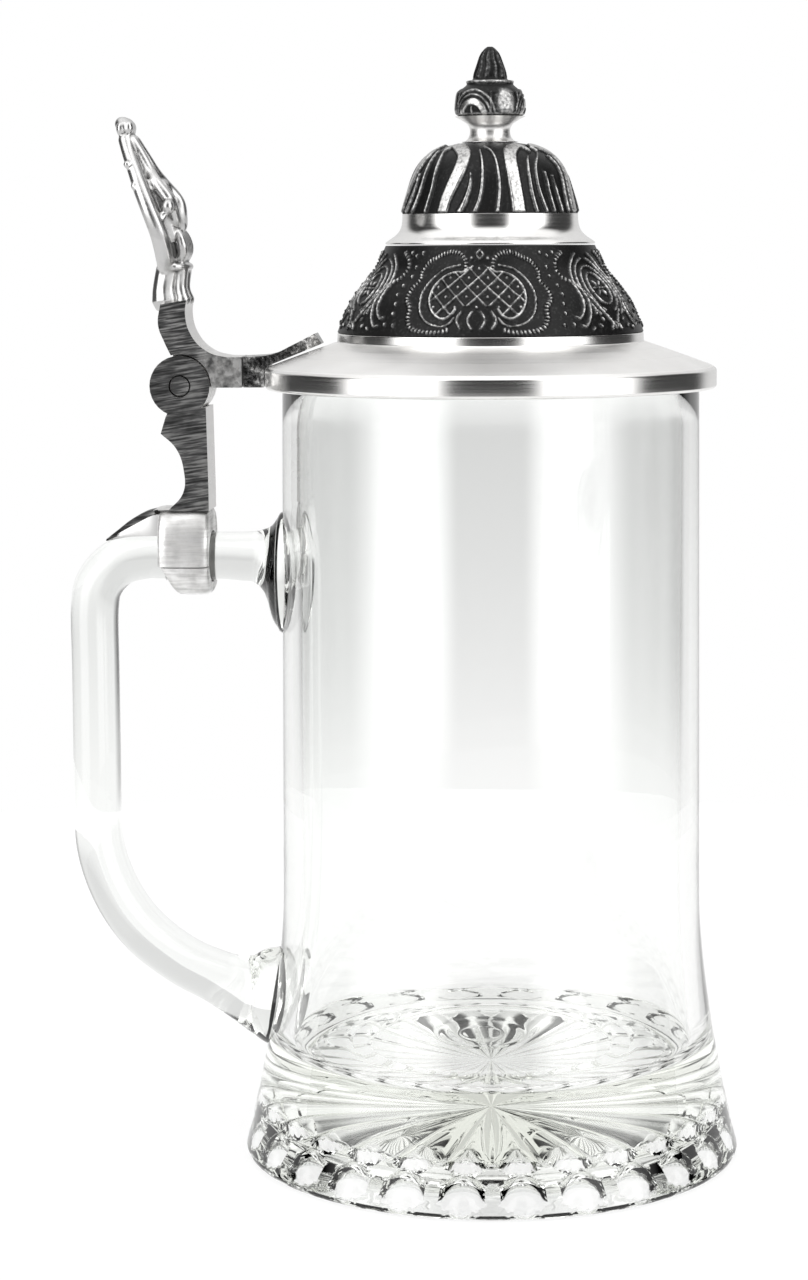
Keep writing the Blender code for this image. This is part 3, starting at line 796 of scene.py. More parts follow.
BAND_HALF_TILE = 27.75
BAND_HEIGHT = 19.0
BAND_DEPTH = 0.42
BAND_WALL = 1.7
SHIELD_DEG = 267.2


def draw_cartouche(tile):
    """Half of the latticed shield: two outlines, a roped edge and the lattice."""
    inner = [
        (2.5, 14.6), (3.4, 13.7), (5.2, 13.6), (7.4, 12.6), (8.9, 10.5), (9.25, 8.4), (9.0, 6.6),
        (7.9, 4.6), (6.1, 3.4), (4.7, 4.0), (3.9, 5.3),
    ]
    tile.stroke(inner, 0.24)
    outer = [
        (4.4, 15.2), (7.6, 14.4), (9.9, 12.2), (11.0, 9.4), (11.0, 7.0), (10.3, 4.4), (8.6, 2.6),
        (6.4, 1.9), (4.9, 2.3), (3.9, 3.6),
    ]
    tile.stroke(outer, 0.14)
    edge = [
        (3.0, 14.2), (3.3, 16.2), (4.9, 17.5), (7.2, 17.8), (9.8, 16.9), (12.2, 15.7), (13.3, 13.8),
        (12.9, 11.9), (13.9, 9.8), (14.1, 7.4), (12.8, 5.5), (12.7, 3.6), (11.6, 1.5), (9.3, 0.8),
        (6.8, 0.7), (4.9, 1.2),
    ]
    tile.rope(edge)
    field = inner + [(2.4, 6.0), (0.0, 5.6), (-1.0, 5.6), (-1.0, 15.0), (1.4, 15.2)]
    tile.lattice(field, 4.0, 4.4, 7.9)
    for x in (0.8, 2.7):
        tile.stroke([(x, 4.9, 0.4), (x + 0.75, 3.2), (x, 1.4, 0.5)], 0.22)
    tile.stroke([(0.0, 18.2, 0.5), (0.8, 17.3), (0.0, 16.4, 0.5)], 0.2)
    tile.dot(1.9, 16.6)


def draw_between(tile):
    """Seeds and J-shaped strokes between the shield and the shell."""
    seeds = [(14.6, 17.6), (16.3, 17.0), (18.0, 17.6), (15.6, 14.7), (15.5, 12.6), (16.6, 10.4)]
    seeds += [(16.9, 8.3), (16.4, 6.3), (16.3, 4.3), (15.6, 2.0), (17.6, 2.1)]
    for x, y in seeds:
        tile.dot(x, y, 0.27, 0.42, 10)
    tile.rope([(20.6, 17.6), (18.6, 16.2), (17.9, 14.2), (18.5, 12.4), (20.0, 11.4)])
    tile.stroke([(20.0, 11.4, 0.4), (21.0, 8.6), (20.8, 5.4), (19.4, 3.4), (18.4, 3.6, 0.5)], 0.26)
    tile.stroke([(20.6, 11.6, 0.4), (22.3, 8.0), (22.0, 4.4), (20.4, 1.8), (19.2, 1.9, 0.5)], 0.24)
    tile.stroke([(21.4, 10.8, 0.4), (24.0, 6.4), (26.2, 3.4), (27.6, 1.2, 0.6)], 0.2)
    for x, y, turn in ((21.8, 1.2, -40), (23.6, 1.7, 30), (24.6, 3.0, 25), (23.4, 4.4, 20)):
        tile.dot(x, y, 0.2, 0.5, turn)


# Half width, half height, and the degrees where each arc starts and ends.
SHELL_ARCS = [(2.9, 3.6, 95, 262), (4.3, 5.2, 92, 250), (5.7, 6.8, 100, 236), (6.9, 8.3, 112, 205)]


def draw_shell(tile):
    """Half of the shell: nested arcs round a flower of slim petals."""
    centre_x, centre_y = BAND_HALF_TILE, 9.6
    for width, rise, start, end in SHELL_ARCS:
        curve = [
            (centre_x + width * math.cos(math.radians(a)), centre_y + rise * math.sin(math.radians(a)))
            for a in np.linspace(start, end, 9)
        ]
        tapered = [(x, y, 0.5 + 0.6 * math.sin(math.pi * i / 8)) for i, (x, y) in enumerate(curve)]
        tile.stroke(tapered, 0.22)
    for turn in (0, 52, 104, 156, 208):
        heading = math.radians(turn + 76)
        x = centre_x + 1.35 * math.cos(heading)
        y = centre_y + 1.35 * math.sin(heading)
        tile.dot(x, y, 0.24, 0.95, math.degrees(heading) - 90)
    tile.dot(centre_x, centre_y, 0.3, 0.3)
    tile.stroke([(26.4, 0.9, 0.5), (26.9, 1.9), (27.75, 2.3)], 0.2)


def make_relief_band(casting):
    """Embossed ogee ring: three shields and three shells, mirrored tile by tile."""
    half_columns = 136
    rows = 92
    x = (np.arange(half_columns) + 0.5) / half_columns * BAND_HALF_TILE
    y = np.linspace(BAND_HEIGHT, 0, rows)
    tile = Relief(x, y)
    draw_cartouche(tile)
    draw_between(tile)
    draw_shell(tile)
    edge = blend_step(np.minimum(y, BAND_HEIGHT - y) / 0.7)
    half = tile.height * edge[:, None]
    pair = np.hstack([half, half[:, ::-1]])
    ornament = np.roll(np.hstack([pair] * 3), round(SHIELD_DEG / 360 * half_columns * 6), axis=1)
    outer = band_line(rows)
    back = resample(outer[::-1] - outward(outer)[::-1] * BAND_WALL, 8)
    relief_ring("embossed_band", outer, back, ornament, BAND_DEPTH, casting, ("relief_band",))


RELIEF_SHARP_DEG = 60


def add_relief_piece(name, radius, height, ring, level, casting, stands_for):
    """A turned piece of the lid that stores how far each place is raised, for its material."""
    vertices, faces = turned_solid(radius, height, ring)
    add_piece(name, vertices, faces, "lid", casting, stands_for, RELIEF_SHARP_DEG, level)


def relief_ring(name, outer, back, ornament, depth, casting, stands_for):
    """A turned shell whose outer side carries an ornament, closed by a plain back."""
    normals = outward(outer)
    back_radius, back_height = turned_rows(back, ornament.shape[1])
    radius = np.vstack([outer[:, :1] + normals[:, :1] * ornament * depth, back_radius])
    height = np.vstack([outer[:, 1:] + normals[:, 1:] * ornament * depth, back_height])
    level = np.vstack([ornament, np.zeros_like(back_radius)])
    add_relief_piece(name, radius, height, True, level, casting, stands_for)


def make_shoulder(polished):
    profile = [
        (17.25, 188.7), (17.3, 187.4), (17.5, 186.2), (18.0, 185.2), (18.9, 184.3), (20.1, 183.5),
        (20.6, 183.1), (20.6, 182.8), (18.8, 182.8), (15.6, 186.0), (15.5, 188.7),
    ]
    line = np.vstack([flow(profile[:7], 5), profile[7:]])
    lathe("shoulder_ring", soften(line, 0.12), 192, polished, ("lid_shoulder",))


def dome_line(count):
    points = [
        (5.6, 202.35), (7.6, 202.0), (9.4, 201.4), (11.2, 200.5), (12.7, 199.3), (14.0, 197.7),
        (15.0, 195.7), (15.8, 193.3), (16.5, 191.1), (17.2, 188.7),
    ]
    return resample(flow(points, 8), count)


DOME_MEAN_RADIUS = 14.5


def degrees_on_dome(angle):
    return math.radians(angle) * DOME_MEAN_RADIUS


RIBS = 7
FIRST_RIB_DEG = 240.3
DOME_DEPTH = 0.5
RIB_HALF_WIDTH = 1.2
LINE_HALF_WIDTH = 0.34
# Each point is (degrees to the side, share of the way up, share of the half width).
RIB_TO_LEFT = [
    (0.0, -0.05, 0.72), (1.3, 0.12, 0.8), (4.1, 0.26, 0.9), (7.6, 0.4, 0.98), (9.6, 0.53, 1.08),
    (8.0, 0.65, 1.25), (-1.5, 0.76, 1.25), (-12.0, 0.8, 0.8), (-18.5, 0.76, 0.45),
    (-18.0, 0.69, 0.15),
]
RIB_TO_RIGHT = [
    (0.0, -0.05, 0.88), (-0.5, 0.14, 0.88), (-1.1, 0.26, 0.9), (-1.8, 0.41, 0.98),
    (-2.0, 0.56, 1.1), (1.5, 0.7, 1.3), (12.0, 0.79, 0.95), (20.5, 0.77, 0.5), (22.0, 0.68, 0.15),
]
LINES_BETWEEN_HOOKS_APART = [
    [(-13.7, 0.0, 1.9), (-10.8, 0.1, 1.5), (-8.4, 0.22, 1.1), (-7.4, 0.33, 0.7), (-7.9, 0.41, 0.25)],
    [
        (-3.9, 0.0, 1.0), (-1.3, 0.1, 0.9), (0.6, 0.24, 0.9), (1.1, 0.4, 1.0), (-0.1, 0.56, 0.9),
        (-3.6, 0.71, 0.4),
    ],
    [
        (11.3, 0.0, 0.9), (13.4, 0.25, 0.9), (12.6, 0.44, 0.9), (10.7, 0.59, 0.9), (6.2, 0.71, 0.8),
        (-1.0, 0.78, 0.4),
    ],
]
LINES_BETWEEN_HOOKS_TOGETHER = [
    [(-13.0, 0.0, 1.2), (-14.8, 0.2, 1.1), (-14.8, 0.4, 0.8), (-12.9, 0.53, 0.7), (-10.0, 0.61, 0.3)],
    [
        (-5.0, 0.0, 1.3), (-8.2, 0.2, 1.1), (-8.8, 0.36, 0.9), (-5.9, 0.5, 0.8), (3.6, 0.64, 0.6),
        (10.0, 0.71, 0.3),
    ],
    [(1.7, 0.0, 0.9), (0.2, 0.2, 0.8), (0.3, 0.42, 0.3)],
    [(9.4, 0.0, 0.8), (8.0, 0.2, 0.7), (7.3, 0.38, 0.3)],
    [(17.3, 0.0, 1.0), (18.0, 0.17, 1.0), (21.0, 0.34, 0.9), (22.2, 0.5, 0.9), (17.5, 0.62, 0.3)],
]


def draw_dome(sheet, length):
    """Seven broad ribs, hooked to the left and right by turns, with slim lines between them."""

    def line(points, side, half_width, crown):
        places = [(degrees_on_dome(side + turn), share * length, width) for turn, share, width in points]
        sheet.stroke(places, half_width, soft=0.2, crown=crown)

    period = 360 / RIBS
    for i in range(RIBS):
        to_left = i % 2 == 0
        slim_lines = LINES_BETWEEN_HOOKS_APART if to_left else LINES_BETWEEN_HOOKS_TOGETHER
        for lap in (-360, 0, 360):
            side = i * period + lap
            line(RIB_TO_LEFT if to_left else RIB_TO_RIGHT, side, RIB_HALF_WIDTH, 0.1)
            for slim in slim_lines:
                line(slim, side + period / 2, LINE_HALF_WIDTH, 0.8)


def make_relief_dome(casting):
    columns = 560
    rows = 90
    outer = dome_line(rows)
    length = length_of(outer)
    x = (np.arange(columns) + 0.5) / columns * 2 * math.pi * DOME_MEAN_RADIUS
    y = np.linspace(length, 0, rows)
    sheet = Relief(x, y)
    draw_dome(sheet, length)
    edge = blend_step(y / 0.4) * blend_step((length - y) / 1.2)
    ornament = np.roll(sheet.height * edge[:, None], round(FIRST_RIB_DEG / 360 * columns), axis=1)
    back = [(15.5, 188.7), (14.4, 192.8), (12.6, 197.0), (8.8, 199.7), (2.7, 200.5), (2.7, 202.3)]
    relief_ring("ribbed_dome", outer, back, ornament, DOME_DEPTH, casting, ("relief_dome",))


def make_stem(polished):
    """The finial's waist, with a peg up into the knob and another down through the dome."""
    peg = [(0.4, 209.7), (1.8, 209.7), (1.8, 207.5)]
    waist = [
        (6.9, 207.5), (5.7, 206.9), (4.5, 206.1), (3.98, 205.2), (3.95, 204.2), (4.3, 203.3),
        (4.9, 202.75), (5.5, 202.6),
    ]
    foot = [(5.5, 202.55), (2.4, 202.55), (2.4, 200.8), (0.4, 200.8)]
    lathe("finial_waist", [*peg, *flow(waist), *foot], 128, polished, ("finial_stem",), ring=False)


# ---- hinge


def trim(mesh, planes=()):
    """Cut a mesh at planes of (point in mm, normal), losing what a normal points at.

    The cuts are closed, and every face is turned outward.
    """
    shape = bmesh.new()
    shape.from_mesh(mesh)
    for point, normal in planes:
        place = (Vector(point) + Vector((AXIS_X, 0, 0))) * MM
        geometry = shape.verts[:] + shape.edges[:] + shape.faces[:]
        cut = bmesh.ops.bisect_plane(shape, geom=geometry, plane_co=place, plane_no=normal, clear_outer=True)
        open_edges = [part for part in cut["geom_cut"] if isinstance(part, bmesh.types.BMEdge)]
        bmesh.ops.holes_fill(shape, edges=open_edges, sides=0)
    bmesh.ops.recalc_face_normals(shape, faces=shape.faces[:])
    shape.to_mesh(mesh)
    shape.free()


BAR_SHARP_DEG = 30
BEVEL_FROM_DEG = 32
SIDE_FACING = 0.85


def refined(name, node, body, materials, bevel, planes=()):
    """A node's shape with softened edges. A second material takes the faces round the edge, so that the side
    faces keep the dark painted shade and the narrow faces take a light painted highlight.
    """
    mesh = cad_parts[node].data.copy()
    mesh.name = name
    mesh.materials.clear()
    trim(mesh, planes)
    piece = new_object(name, mesh)
    rounding = piece.modifiers.new("edges", "BEVEL")
    rounding.width = bevel * MM
    rounding.segments = 3
    rounding.limit_method = "ANGLE"
    rounding.angle_limit = math.radians(BEVEL_FROM_DEG)
    rounding.use_clamp_overlap = True
    finished = take_modifiers(piece)
    for material in materials:
        finished.materials.append(material)
    # Painted light: faces turned to the sides take the first, dark material, and the narrow faces the last,
    # light one.
    for face in finished.polygons:
        on_edge = abs(face.normal.y) <= SIDE_FACING
        face.material_index = len(materials) - 1 if on_edge else 0
    shade(finished, BAR_SHARP_DEG)
    enter(piece, body, (node,))


SPUR_SHARP_DEG = 28
# (x, bottom, foot of the upper facet, top, half width)
SPUR_SECTIONS = [
    (-65.9, 125.35, 129.7, 130.5, 4.6), (-67.6, 125.3, 129.3, 130.3, 4.4),
    (-69.6, 125.2, 128.3, 129.7, 4.0), (-72.2, 125.0, 126.9, 128.2, 3.3),
    (-74.8, 124.5, 125.5, 126.2, 2.2), (-77.3, 123.9, 124.1, 124.3, 0.8),
]


def add_sweep(name, rings, material, stands_for, sharp_deg):
    """A piece of the mug swept through rings of points, closed at both ends."""
    grid = np.array(rings)
    faces = tube_faces(*grid.shape[:2])
    piece = add_piece(name, grid.reshape(-1, 3), faces, "mug", material, stands_for, sharp_deg)
    trim(piece.data)
    return piece.data


def make_spur(pale, dark):
    """The pointed spur behind the strap, its sloping facet along the upper edge darkened with painted shade.
    """
    rings = []
    for x, bottom, facet, top, half in flow(SPUR_SECTIONS, 4):
        middle = (bottom + facet) / 2
        section = [(-half, bottom), (-half - 0.15, middle), (-half, facet), (-half * 0.62, top)]
        section += [(half * 0.62, top), (half, facet), (half + 0.15, middle), (half, bottom)]
        section.append((0.0, bottom + 0.16 * half))
        rings.append([(x, y, z) for y, z in section])
    mesh = add_sweep("strap_spur", rings, pale, (), SPUR_SHARP_DEG)
    mesh.materials.append(dark)
    # Painted shade: faces turned upward take the dark material.
    for face in mesh.polygons:
        face.material_index = 1 if face.normal.z > 0.25 else 0


BAR_MIDDLE_Z = 120.9
STRAP_HALF_WIDTH = 7.8
STRAP_TOP = 9.9
STRAP_BOTTOM = 7.5
STRAP_REAR = -66.0
STRAP_FRONT = -55.8
STRAP_SQUARENESS = 3.2
STRAP_SHARP_DEG = 35
BORE_HALF_WIDTH = 6.15
BORE_HALF_HEIGHT = 5.2


def strap_reach(angle):
    """Distance from the bar's middle to the strap's outer face, a rounded box section."""
    rise = STRAP_TOP if math.sin(angle) > 0 else STRAP_BOTTOM
    across = abs(math.cos(angle)) / STRAP_HALF_WIDTH
    up = abs(math.sin(angle)) / rise
    return (across**STRAP_SQUARENESS + up**STRAP_SQUARENESS) ** (-1 / STRAP_SQUARENESS)


def strap_bore(angle):
    """Distance from the bar's middle to the strap's inner face."""
    return 1 / math.hypot(math.cos(angle) / BORE_HALF_WIDTH, math.sin(angle) / BORE_HALF_HEIGHT)


def make_strap_part(name, start_deg, end_deg, rear_at, material, stands_for=()):
    """Part of the collar round the glass bar, between two angles, with softened edges."""
    rows = []
    for angle in np.radians(np.linspace(start_deg, end_deg, 72)):
        reach = strap_reach(angle)
        bore = strap_bore(angle)
        rear = rear_at(reach * math.sin(angle))
        section = [(rear, bore), (rear, reach - 0.8), (rear + 0.25, reach - 0.3), (rear + 0.8, reach)]
        section += [(x, reach + 0.12) for x in np.linspace(rear + 2.0, STRAP_FRONT - 2.0, 4)]
        section += [(STRAP_FRONT - 0.8, reach), (STRAP_FRONT - 0.25, reach - 0.3)]
        section += [(STRAP_FRONT, reach - 0.8), (STRAP_FRONT, bore)]
        rows.append([(x, r * math.cos(angle), BAR_MIDDLE_Z + r * math.sin(angle)) for x, r in section])
    add_sweep(name, rows, material, stands_for, STRAP_SHARP_DEG)


def rear_above_seam(rise):
    return STRAP_REAR


def rear_below_seam(rise):
    """The lower half tapers: its rear edge leans forward towards the bottom."""
    return STRAP_REAR + 0.5 + 2.9 * min(1.0, max(0.0, (-1.6 - rise) / 5.8))


# ---- thumblift


THUMB_HEIGHTS = [
    171.8, 174.8, 178.4, 180.7, 184.0, 186.6, 189.0, 191.3, 193.7, 196.0, 198.4, 202.0, 204.3,
    207.0, 208.2,
]
THUMB_REAR = [
    -66.4, -66.7, -65.7, -65.9, -66.1, -66.9, -67.9, -69.1, -70.0, -70.7, -71.7, -72.9, -74.0,
    -74.2, -73.6,
]
THUMB_FRONT = [
    -59.2, -60.0, -59.5, -59.0, -59.5, -60.1, -60.9, -61.1, -63.0, -64.6, -66.1, -68.2, -69.6,
    -70.1, -70.6,
]


def thumb_place(share, y, z):
    """A point of the thumblift; the share runs from -1 at its rear to 1 at its front."""
    rear = float(np.interp(z, THUMB_HEIGHTS, THUMB_REAR))
    front = float(np.interp(z, THUMB_HEIGHTS, THUMB_FRONT))
    return ((rear + front) / 2 + share * (front - rear) / 2, y, z)


SKIN_CELL = 0.22
SKIN_SMOOTHING = 9
HOLLOW_ROUNDS = 14
HOLLOW_DEPTH = 0.22


class Casting:
    """Closed lumps and strands that are fused into one skin."""

    def __init__(self):
        self.vertices = []
        self.faces = []

    def strand(self, points):
        """A tube through (x, y, z, radius), closed with rounded ends."""
        line = flow(points)
        middle = line[:, :3]
        radius = line[:, 3]
        sides = 10
        ways = ways_along(middle)
        side = np.cross(ways, (1.0, 0.0, 0.0))
        side /= np.maximum(np.linalg.norm(side, axis=1), 1e-6)[:, None]
        up = np.cross(side, ways)
        angles = 2 * math.pi * np.arange(sides) / sides
        start = len(self.vertices)
        ends = [(0, -0.6, 0.75)] + [(i, 0.0, 1.0) for i in range(len(line))] + [(len(line) - 1, 0.6, 0.75)]
        for i, ahead, share in ends:
            centre = middle[i] + ways[i] * ahead * radius[i]
            for a in angles:
                spoke = side[i] * math.cos(a) + up[i] * math.sin(a)
                self.vertices.append(centre + spoke * radius[i] * share)
        self.faces += tube_faces(len(ends), sides, start)

    def lump(self, centre, radii):
        """An ellipsoid."""
        start = len(self.vertices)
        turns = 14
        levels = 9
        for level in range(1, levels):
            tilt = math.pi * level / levels
            for i in range(turns):
                a = 2 * math.pi * i / turns
                spoke = (math.sin(tilt) * math.cos(a), math.sin(tilt) * math.sin(a), math.cos(tilt))
                self.vertices.append([c + r * share for c, r, share in zip(centre, radii, spoke)])
        self.faces += tube_faces(levels - 1, turns, start)

    def fused(self, name, material, stands_for):
        """All lumps as one skin of small cells, slightly smoothed as a casting is."""
        mesh = mesh_about_axis(name, self.vertices, self.faces)
        mesh.validate()
        piece = new_object(name, mesh)
        skin = piece.modifiers.new("skin", "REMESH")
        skin.mode = "VOXEL"
        skin.voxel_size = SKIN_CELL * MM
        soft = piece.modifiers.new("soft", "SMOOTH")
        soft.factor = 0.5
        soft.iterations = SKIN_SMOOTHING
        finished = take_modifiers(piece)
        finished.materials.clear()
        finished.materials.append(material)
        finished.shade_smooth()
        mark_hollows(finished)
        enter(piece, "lid", stands_for)


def mark_hollows(mesh):
    """Store in "hollow" how far each place lies below its neighbourhood, from 0 to 1; the casting's colour
    uses it as painted shade.
    """
    count = len(mesh.vertices)
    place = np.empty(count * 3)
    normal = np.empty(count * 3)
    mesh.vertices.foreach_get("co", place)
    mesh.vertices.foreach_get("normal", normal)
    ends = np.empty(len(mesh.edges) * 2, int)
    mesh.edges.foreach_get("vertices", ends)
    place = place.reshape(-1, 3) / MM
    start, end = ends.reshape(-1, 2).T
    links = np.maximum(np.bincount(start, minlength=count) + np.bincount(end, minlength=count), 1)
    smooth = place.copy()
    for step in range(HOLLOW_ROUNDS):
        total = np.zeros_like(smooth)
        for axis in range(3):
            total[:, axis] += np.bincount(start, smooth[end, axis], count)
            total[:, axis] += np.bincount(end, smooth[start, axis], count)
        smooth = 0.4 * smooth + 0.6 * total / links[:, None]
    below = np.sum((smooth - place) * normal.reshape(-1, 3), axis=1)
    layer = mesh.attributes.new("hollow", "FLOAT", "POINT")
    layer.data.foreach_set("value", np.clip(below / HOLLOW_DEPTH, 0, 1))


def curl(turns, start, size, z_middle, y_middle, share, radius):
    """Points of a flat spiral facing forward, from its outside in."""
    points = []
    for i in range(9):
        t = i / 8
        angle = start + turns * 2 * math.pi * t
        reach = size * (1 - 0.78 * t)
        z = z_middle + reach * math.sin(angle)
        points.append((*thumb_place(share, y_middle + reach * math.cos(angle), z), radius * (1 - 0.3 * t)))
    return points


def thumb_strand(stations, side=1):
    """(share, y, z, radius) to the points of a strand, mirrored if the side is -1."""
    return [(*thumb_place(share, side * y, z), radius) for share, y, z, radius in stations]


# Each point is (share from rear to front, distance to the side, height, radius).
REAR_POST = [(-0.36, 2.0, 171.9, 3.0), (-0.3, 1.8, 174.4, 2.6), (-0.32, 2.0, 178.2, 2.5)]
FRONT_POST = [(0.62, 2.5, 171.9, 1.5), (0.62, 2.2, 174.4, 1.25), (0.55, 2.4, 178.2, 1.4)]
OUTER_SCROLL = [
    (-0.4, 3.0, 178.6, 1.9), (-0.42, 5.4, 181.4, 1.9), (-0.45, 7.4, 185.2, 1.85),
    (-0.48, 7.9, 189.4, 1.7), (-0.45, 6.9, 193.6, 1.6), (-0.42, 5.1, 197.4, 1.45),
    (-0.4, 3.1, 200.8, 1.4), (-0.2, 1.6, 203.6, 1.5),
]
FRONT_SCROLL = [
    (0.6, 1.2, 186.4, 1.2), (0.64, 4.2, 188.0, 1.3), (0.66, 5.9, 191.4, 1.25),
    (0.6, 5.2, 194.8, 1.15), (0.52, 3.2, 197.2, 1.1), (0.48, 2.2, 200.2, 1.1),
    (0.34, 1.4, 203.4, 1.2),
]
WEB = [(0.0, 3.0, 184.6, 2.0), (0.05, 4.0, 190.0, 2.1), (0.05, 2.6, 196.4, 1.7), (0.0, 1.4, 201.0, 1.3)]
LOWER_TIE = [(-0.5, 7.4, 186.0, 0.9), (0.1, 7.6, 188.4, 0.8), (0.6, 6.2, 190.4, 0.8)]
UPPER_TIE = [(-0.5, 6.0, 195.8, 0.8), (0.1, 5.4, 195.0, 0.7), (0.55, 4.8, 195.4, 0.7)]
REAR_RIB = [
    (-0.2, 0.0, 178.6, 2.0), (-0.3, 0.0, 183.0, 1.9), (-0.42, 0.0, 187.6, 1.75),
    (-0.45, 0.0, 192.4, 1.55), (-0.45, 0.0, 197.2, 1.4), (-0.35, 0.0, 201.4, 1.4),
    (0.0, 0.0, 204.6, 1.6),
]
# Each bead is (share, distance to the side, height) and its three radii.
SIDE_BEADS = [
    ((0.1, 5.2, 194.2), (1.1, 1.1, 1.3)), ((0.55, 7.4, 190.4), (1.25, 1.3, 1.5)),
    ((-0.7, 8.3, 186.4), (0.95, 0.9, 1.0)), ((-0.72, 7.3, 194.4), (0.8, 0.8, 0.9)),
    ((-0.7, 5.8, 198.6), (0.75, 0.7, 0.8)), ((0.0, 2.0, 186.2), (2.0, 1.9, 1.8)),
    ((-0.35, 1.7, 205.6), (0.95, 1.2, 1.5)), ((0.42, 1.7, 205.8), (0.95, 1.2, 1.5)),
]
MIDDLE_LUMPS = [
    ((0.0, 0.0, 178.6), (2.6, 4.0, 1.3)), ((0.1, 0.0, 172.9), (2.2, 2.6, 1.7)),
    ((0.0, 0.0, 205.9), (1.95, 2.7, 1.95)), ((-0.25, 0.0, 206.6), (1.6, 2.0, 1.5)),
]


def make_thumblift(material):
    """A pierced scroll: rear rib, side scrolls, a front leaf, beads and a rounded head."""
    cast = Casting()
    for side in (-1, 1):
        for strand in (REAR_POST, FRONT_POST, OUTER_SCROLL, FRONT_SCROLL, WEB, LOWER_TIE, UPPER_TIE):
            cast.strand(thumb_strand(strand, side))
        cast.strand(curl(1.25, 0.4 if side > 0 else math.pi - 0.4, 2.0, 193.4, side * 3.0, 0.62, 0.75))
        for (share, y, z), radii in SIDE_BEADS:
            cast.lump(thumb_place(share, side * y, z), radii)
    cast.strand(thumb_strand(REAR_RIB))
    for y in (-3.0, -1.5, 0.0, 1.5, 3.0):
        leaf = [(0.3, y * 0.7, 179.0, 0.9), (0.62, y * 1.25, 181.6, 1.05)]
        leaf += [(0.6, y * 1.35, 184.2, 0.95), (0.35, y * 0.9, 186.6, 0.7)]
        cast.strand(thumb_strand(leaf))
    collar = [(0.9 * math.sin(a), 4.3 * math.cos(a), 178.6, 0.8) for a in np.linspace(0, 2 * math.pi, 13)]
    cast.strand(thumb_strand(collar))
    for place, radii in MIDDLE_LUMPS:
        cast.lump(thumb_place(*place), radii)
    cast.fused("thumblift_scroll", material, ("thumblift",))


# ---- finial


KNOB_LINE = [
    (0.5, 220.95), (1.3, 220.6), (1.9, 219.9), (2.3, 219.1), (2.7, 218.0), (3.1, 216.9),
    (3.4, 215.9), (3.55, 215.1), (3.7, 214.8), (4.35, 214.65), (4.7, 214.3), (4.8, 213.8),
    (5.8, 213.0), (6.6, 212.2), (6.85, 211.2), (7.0, 209.8), (7.05, 208.7), (6.8, 207.9),
    (6.2, 207.5),
]
KNOB_DEPTH = 0.32
KNOB_FIRST_ARCH_DEG = -32.0
CAMERA_FACING_DEG = 272.5
FLUTES = 11


def knob_relief(height, angles_deg):
    """Raised shares over the knob: three nests of arches, three lens facets, a fluted tip."""
    turn = (angles_deg - CAMERA_FACING_DEG - KNOB_FIRST_ARCH_DEG + 60) % 120 - 60
    z = height[:, None]
    turn = turn[None, :]
    nest = np.hypot(turn / 43.0, (z - 207.3) / 5.7)
    off_lens = np.where(turn > 0, turn - 60, turn + 60)
    lens = 1 - (off_lens / 24.0) ** 2 - ((z - 210.2) / 3.5) ** 2
    bar = blend_step(1 - abs(abs(off_lens) - 26.5) / 2.0) * blend_step((212.6 - z) / 0.5)
    on_body = [
        0.9 * blend_step(1 - abs(nest - 0.94) / 0.08),
        0.8 * blend_step(1 - abs(nest - 0.77) / 0.07),
        blend_step((0.16 - abs(nest - 0.52)) / 0.08),
        blend_step(1 - abs(turn) / 4.0) * blend_step((209.6 - z) / 0.6),
        0.8 * blend_step(lens * 1.6),
        0.8 * bar,
    ]
    body = np.max(np.broadcast_arrays(*on_body), axis=0) * blend_step((213.4 - z) / 0.5)
    flute = 0.5 + 0.5 * np.cos(np.radians(angles_deg[None, :]) * FLUTES + 0.5 * np.sin(z * 1.7))
    on_tip = blend_step((z - 214.9) / 0.3) * blend_step((220.9 - z) / 1.0)
    tip = on_tip * np.clip(flute * 0.9 - 0.1, 0, 1) * 0.62
    foot = 0.75 * blend_step((208.2 - z) / 0.4)
    ledge = blend_step(1 - abs(z - 214.3) / 0.55)
    return np.clip(np.max(np.broadcast_arrays(body, foot, tip, ledge), axis=0), 0, 1)


def make_knob(casting):
    columns = 288
    line = resample(soften(KNOB_LINE, 0.25, closed=False), 120)
    angles_deg = 360 * np.arange(columns) / columns
    relief = knob_relief(line[:, 1], angles_deg)
    normals = outward(line)
    sunk = (relief - 1) * KNOB_DEPTH * blend_step((line[:, :1] - 0.4) / 1.5)
    base_radius, base_height = turned_rows([(4.4, 207.5), (2.2, 207.5)], columns)
    radius = np.vstack([line[:, :1] + normals[:, :1] * sunk, base_radius])
    height = np.vstack([line[:, 1:] + normals[:, 1:] * sunk, base_height])
    level = np.concatenate([relief.ravel(), np.zeros(2 * columns), [0.6, 0.0]])
    add_relief_piece("finial_bud", radius, height, False, level, casting, ("finial_knob",))


# ---- studio


CAMERA_DISTANCE = 600.0
CAMERA_HEIGHT = 186.0
CAMERA_AZIMUTH = 2.5
CAMERA_PITCH = 7.77
CAMERA_YAW = 1.66
CAMERA_ROLL = -0.3
LENS = 84.94


def make_camera():
    data = bpy.data.cameras.new("camera")
    data.lens = LENS
    data.sensor_width = 36
    data.clip_start = 0.01
    camera = new_object("camera", data)
    azimuth = math.radians(CAMERA_AZIMUTH)
    place = (
        CAMERA_DISTANCE * math.sin(azimuth) + AXIS_X,
        -CAMERA_DISTANCE * math.cos(azimuth),
        CAMERA_HEIGHT,
    )
    turn = Matrix.Rotation(azimuth + math.radians(CAMERA_YAW), 4, "Z")
    tilt = Matrix.Rotation(math.radians(90 - CAMERA_PITCH), 4, "X")
    roll = Matrix.Rotation(math.radians(CAMERA_ROLL), 4, "Z")
    camera.matrix_world = Matrix.Translation(Vector(place) * MM) @ turn @ tilt @ roll
    bpy.context.scene.camera = camera


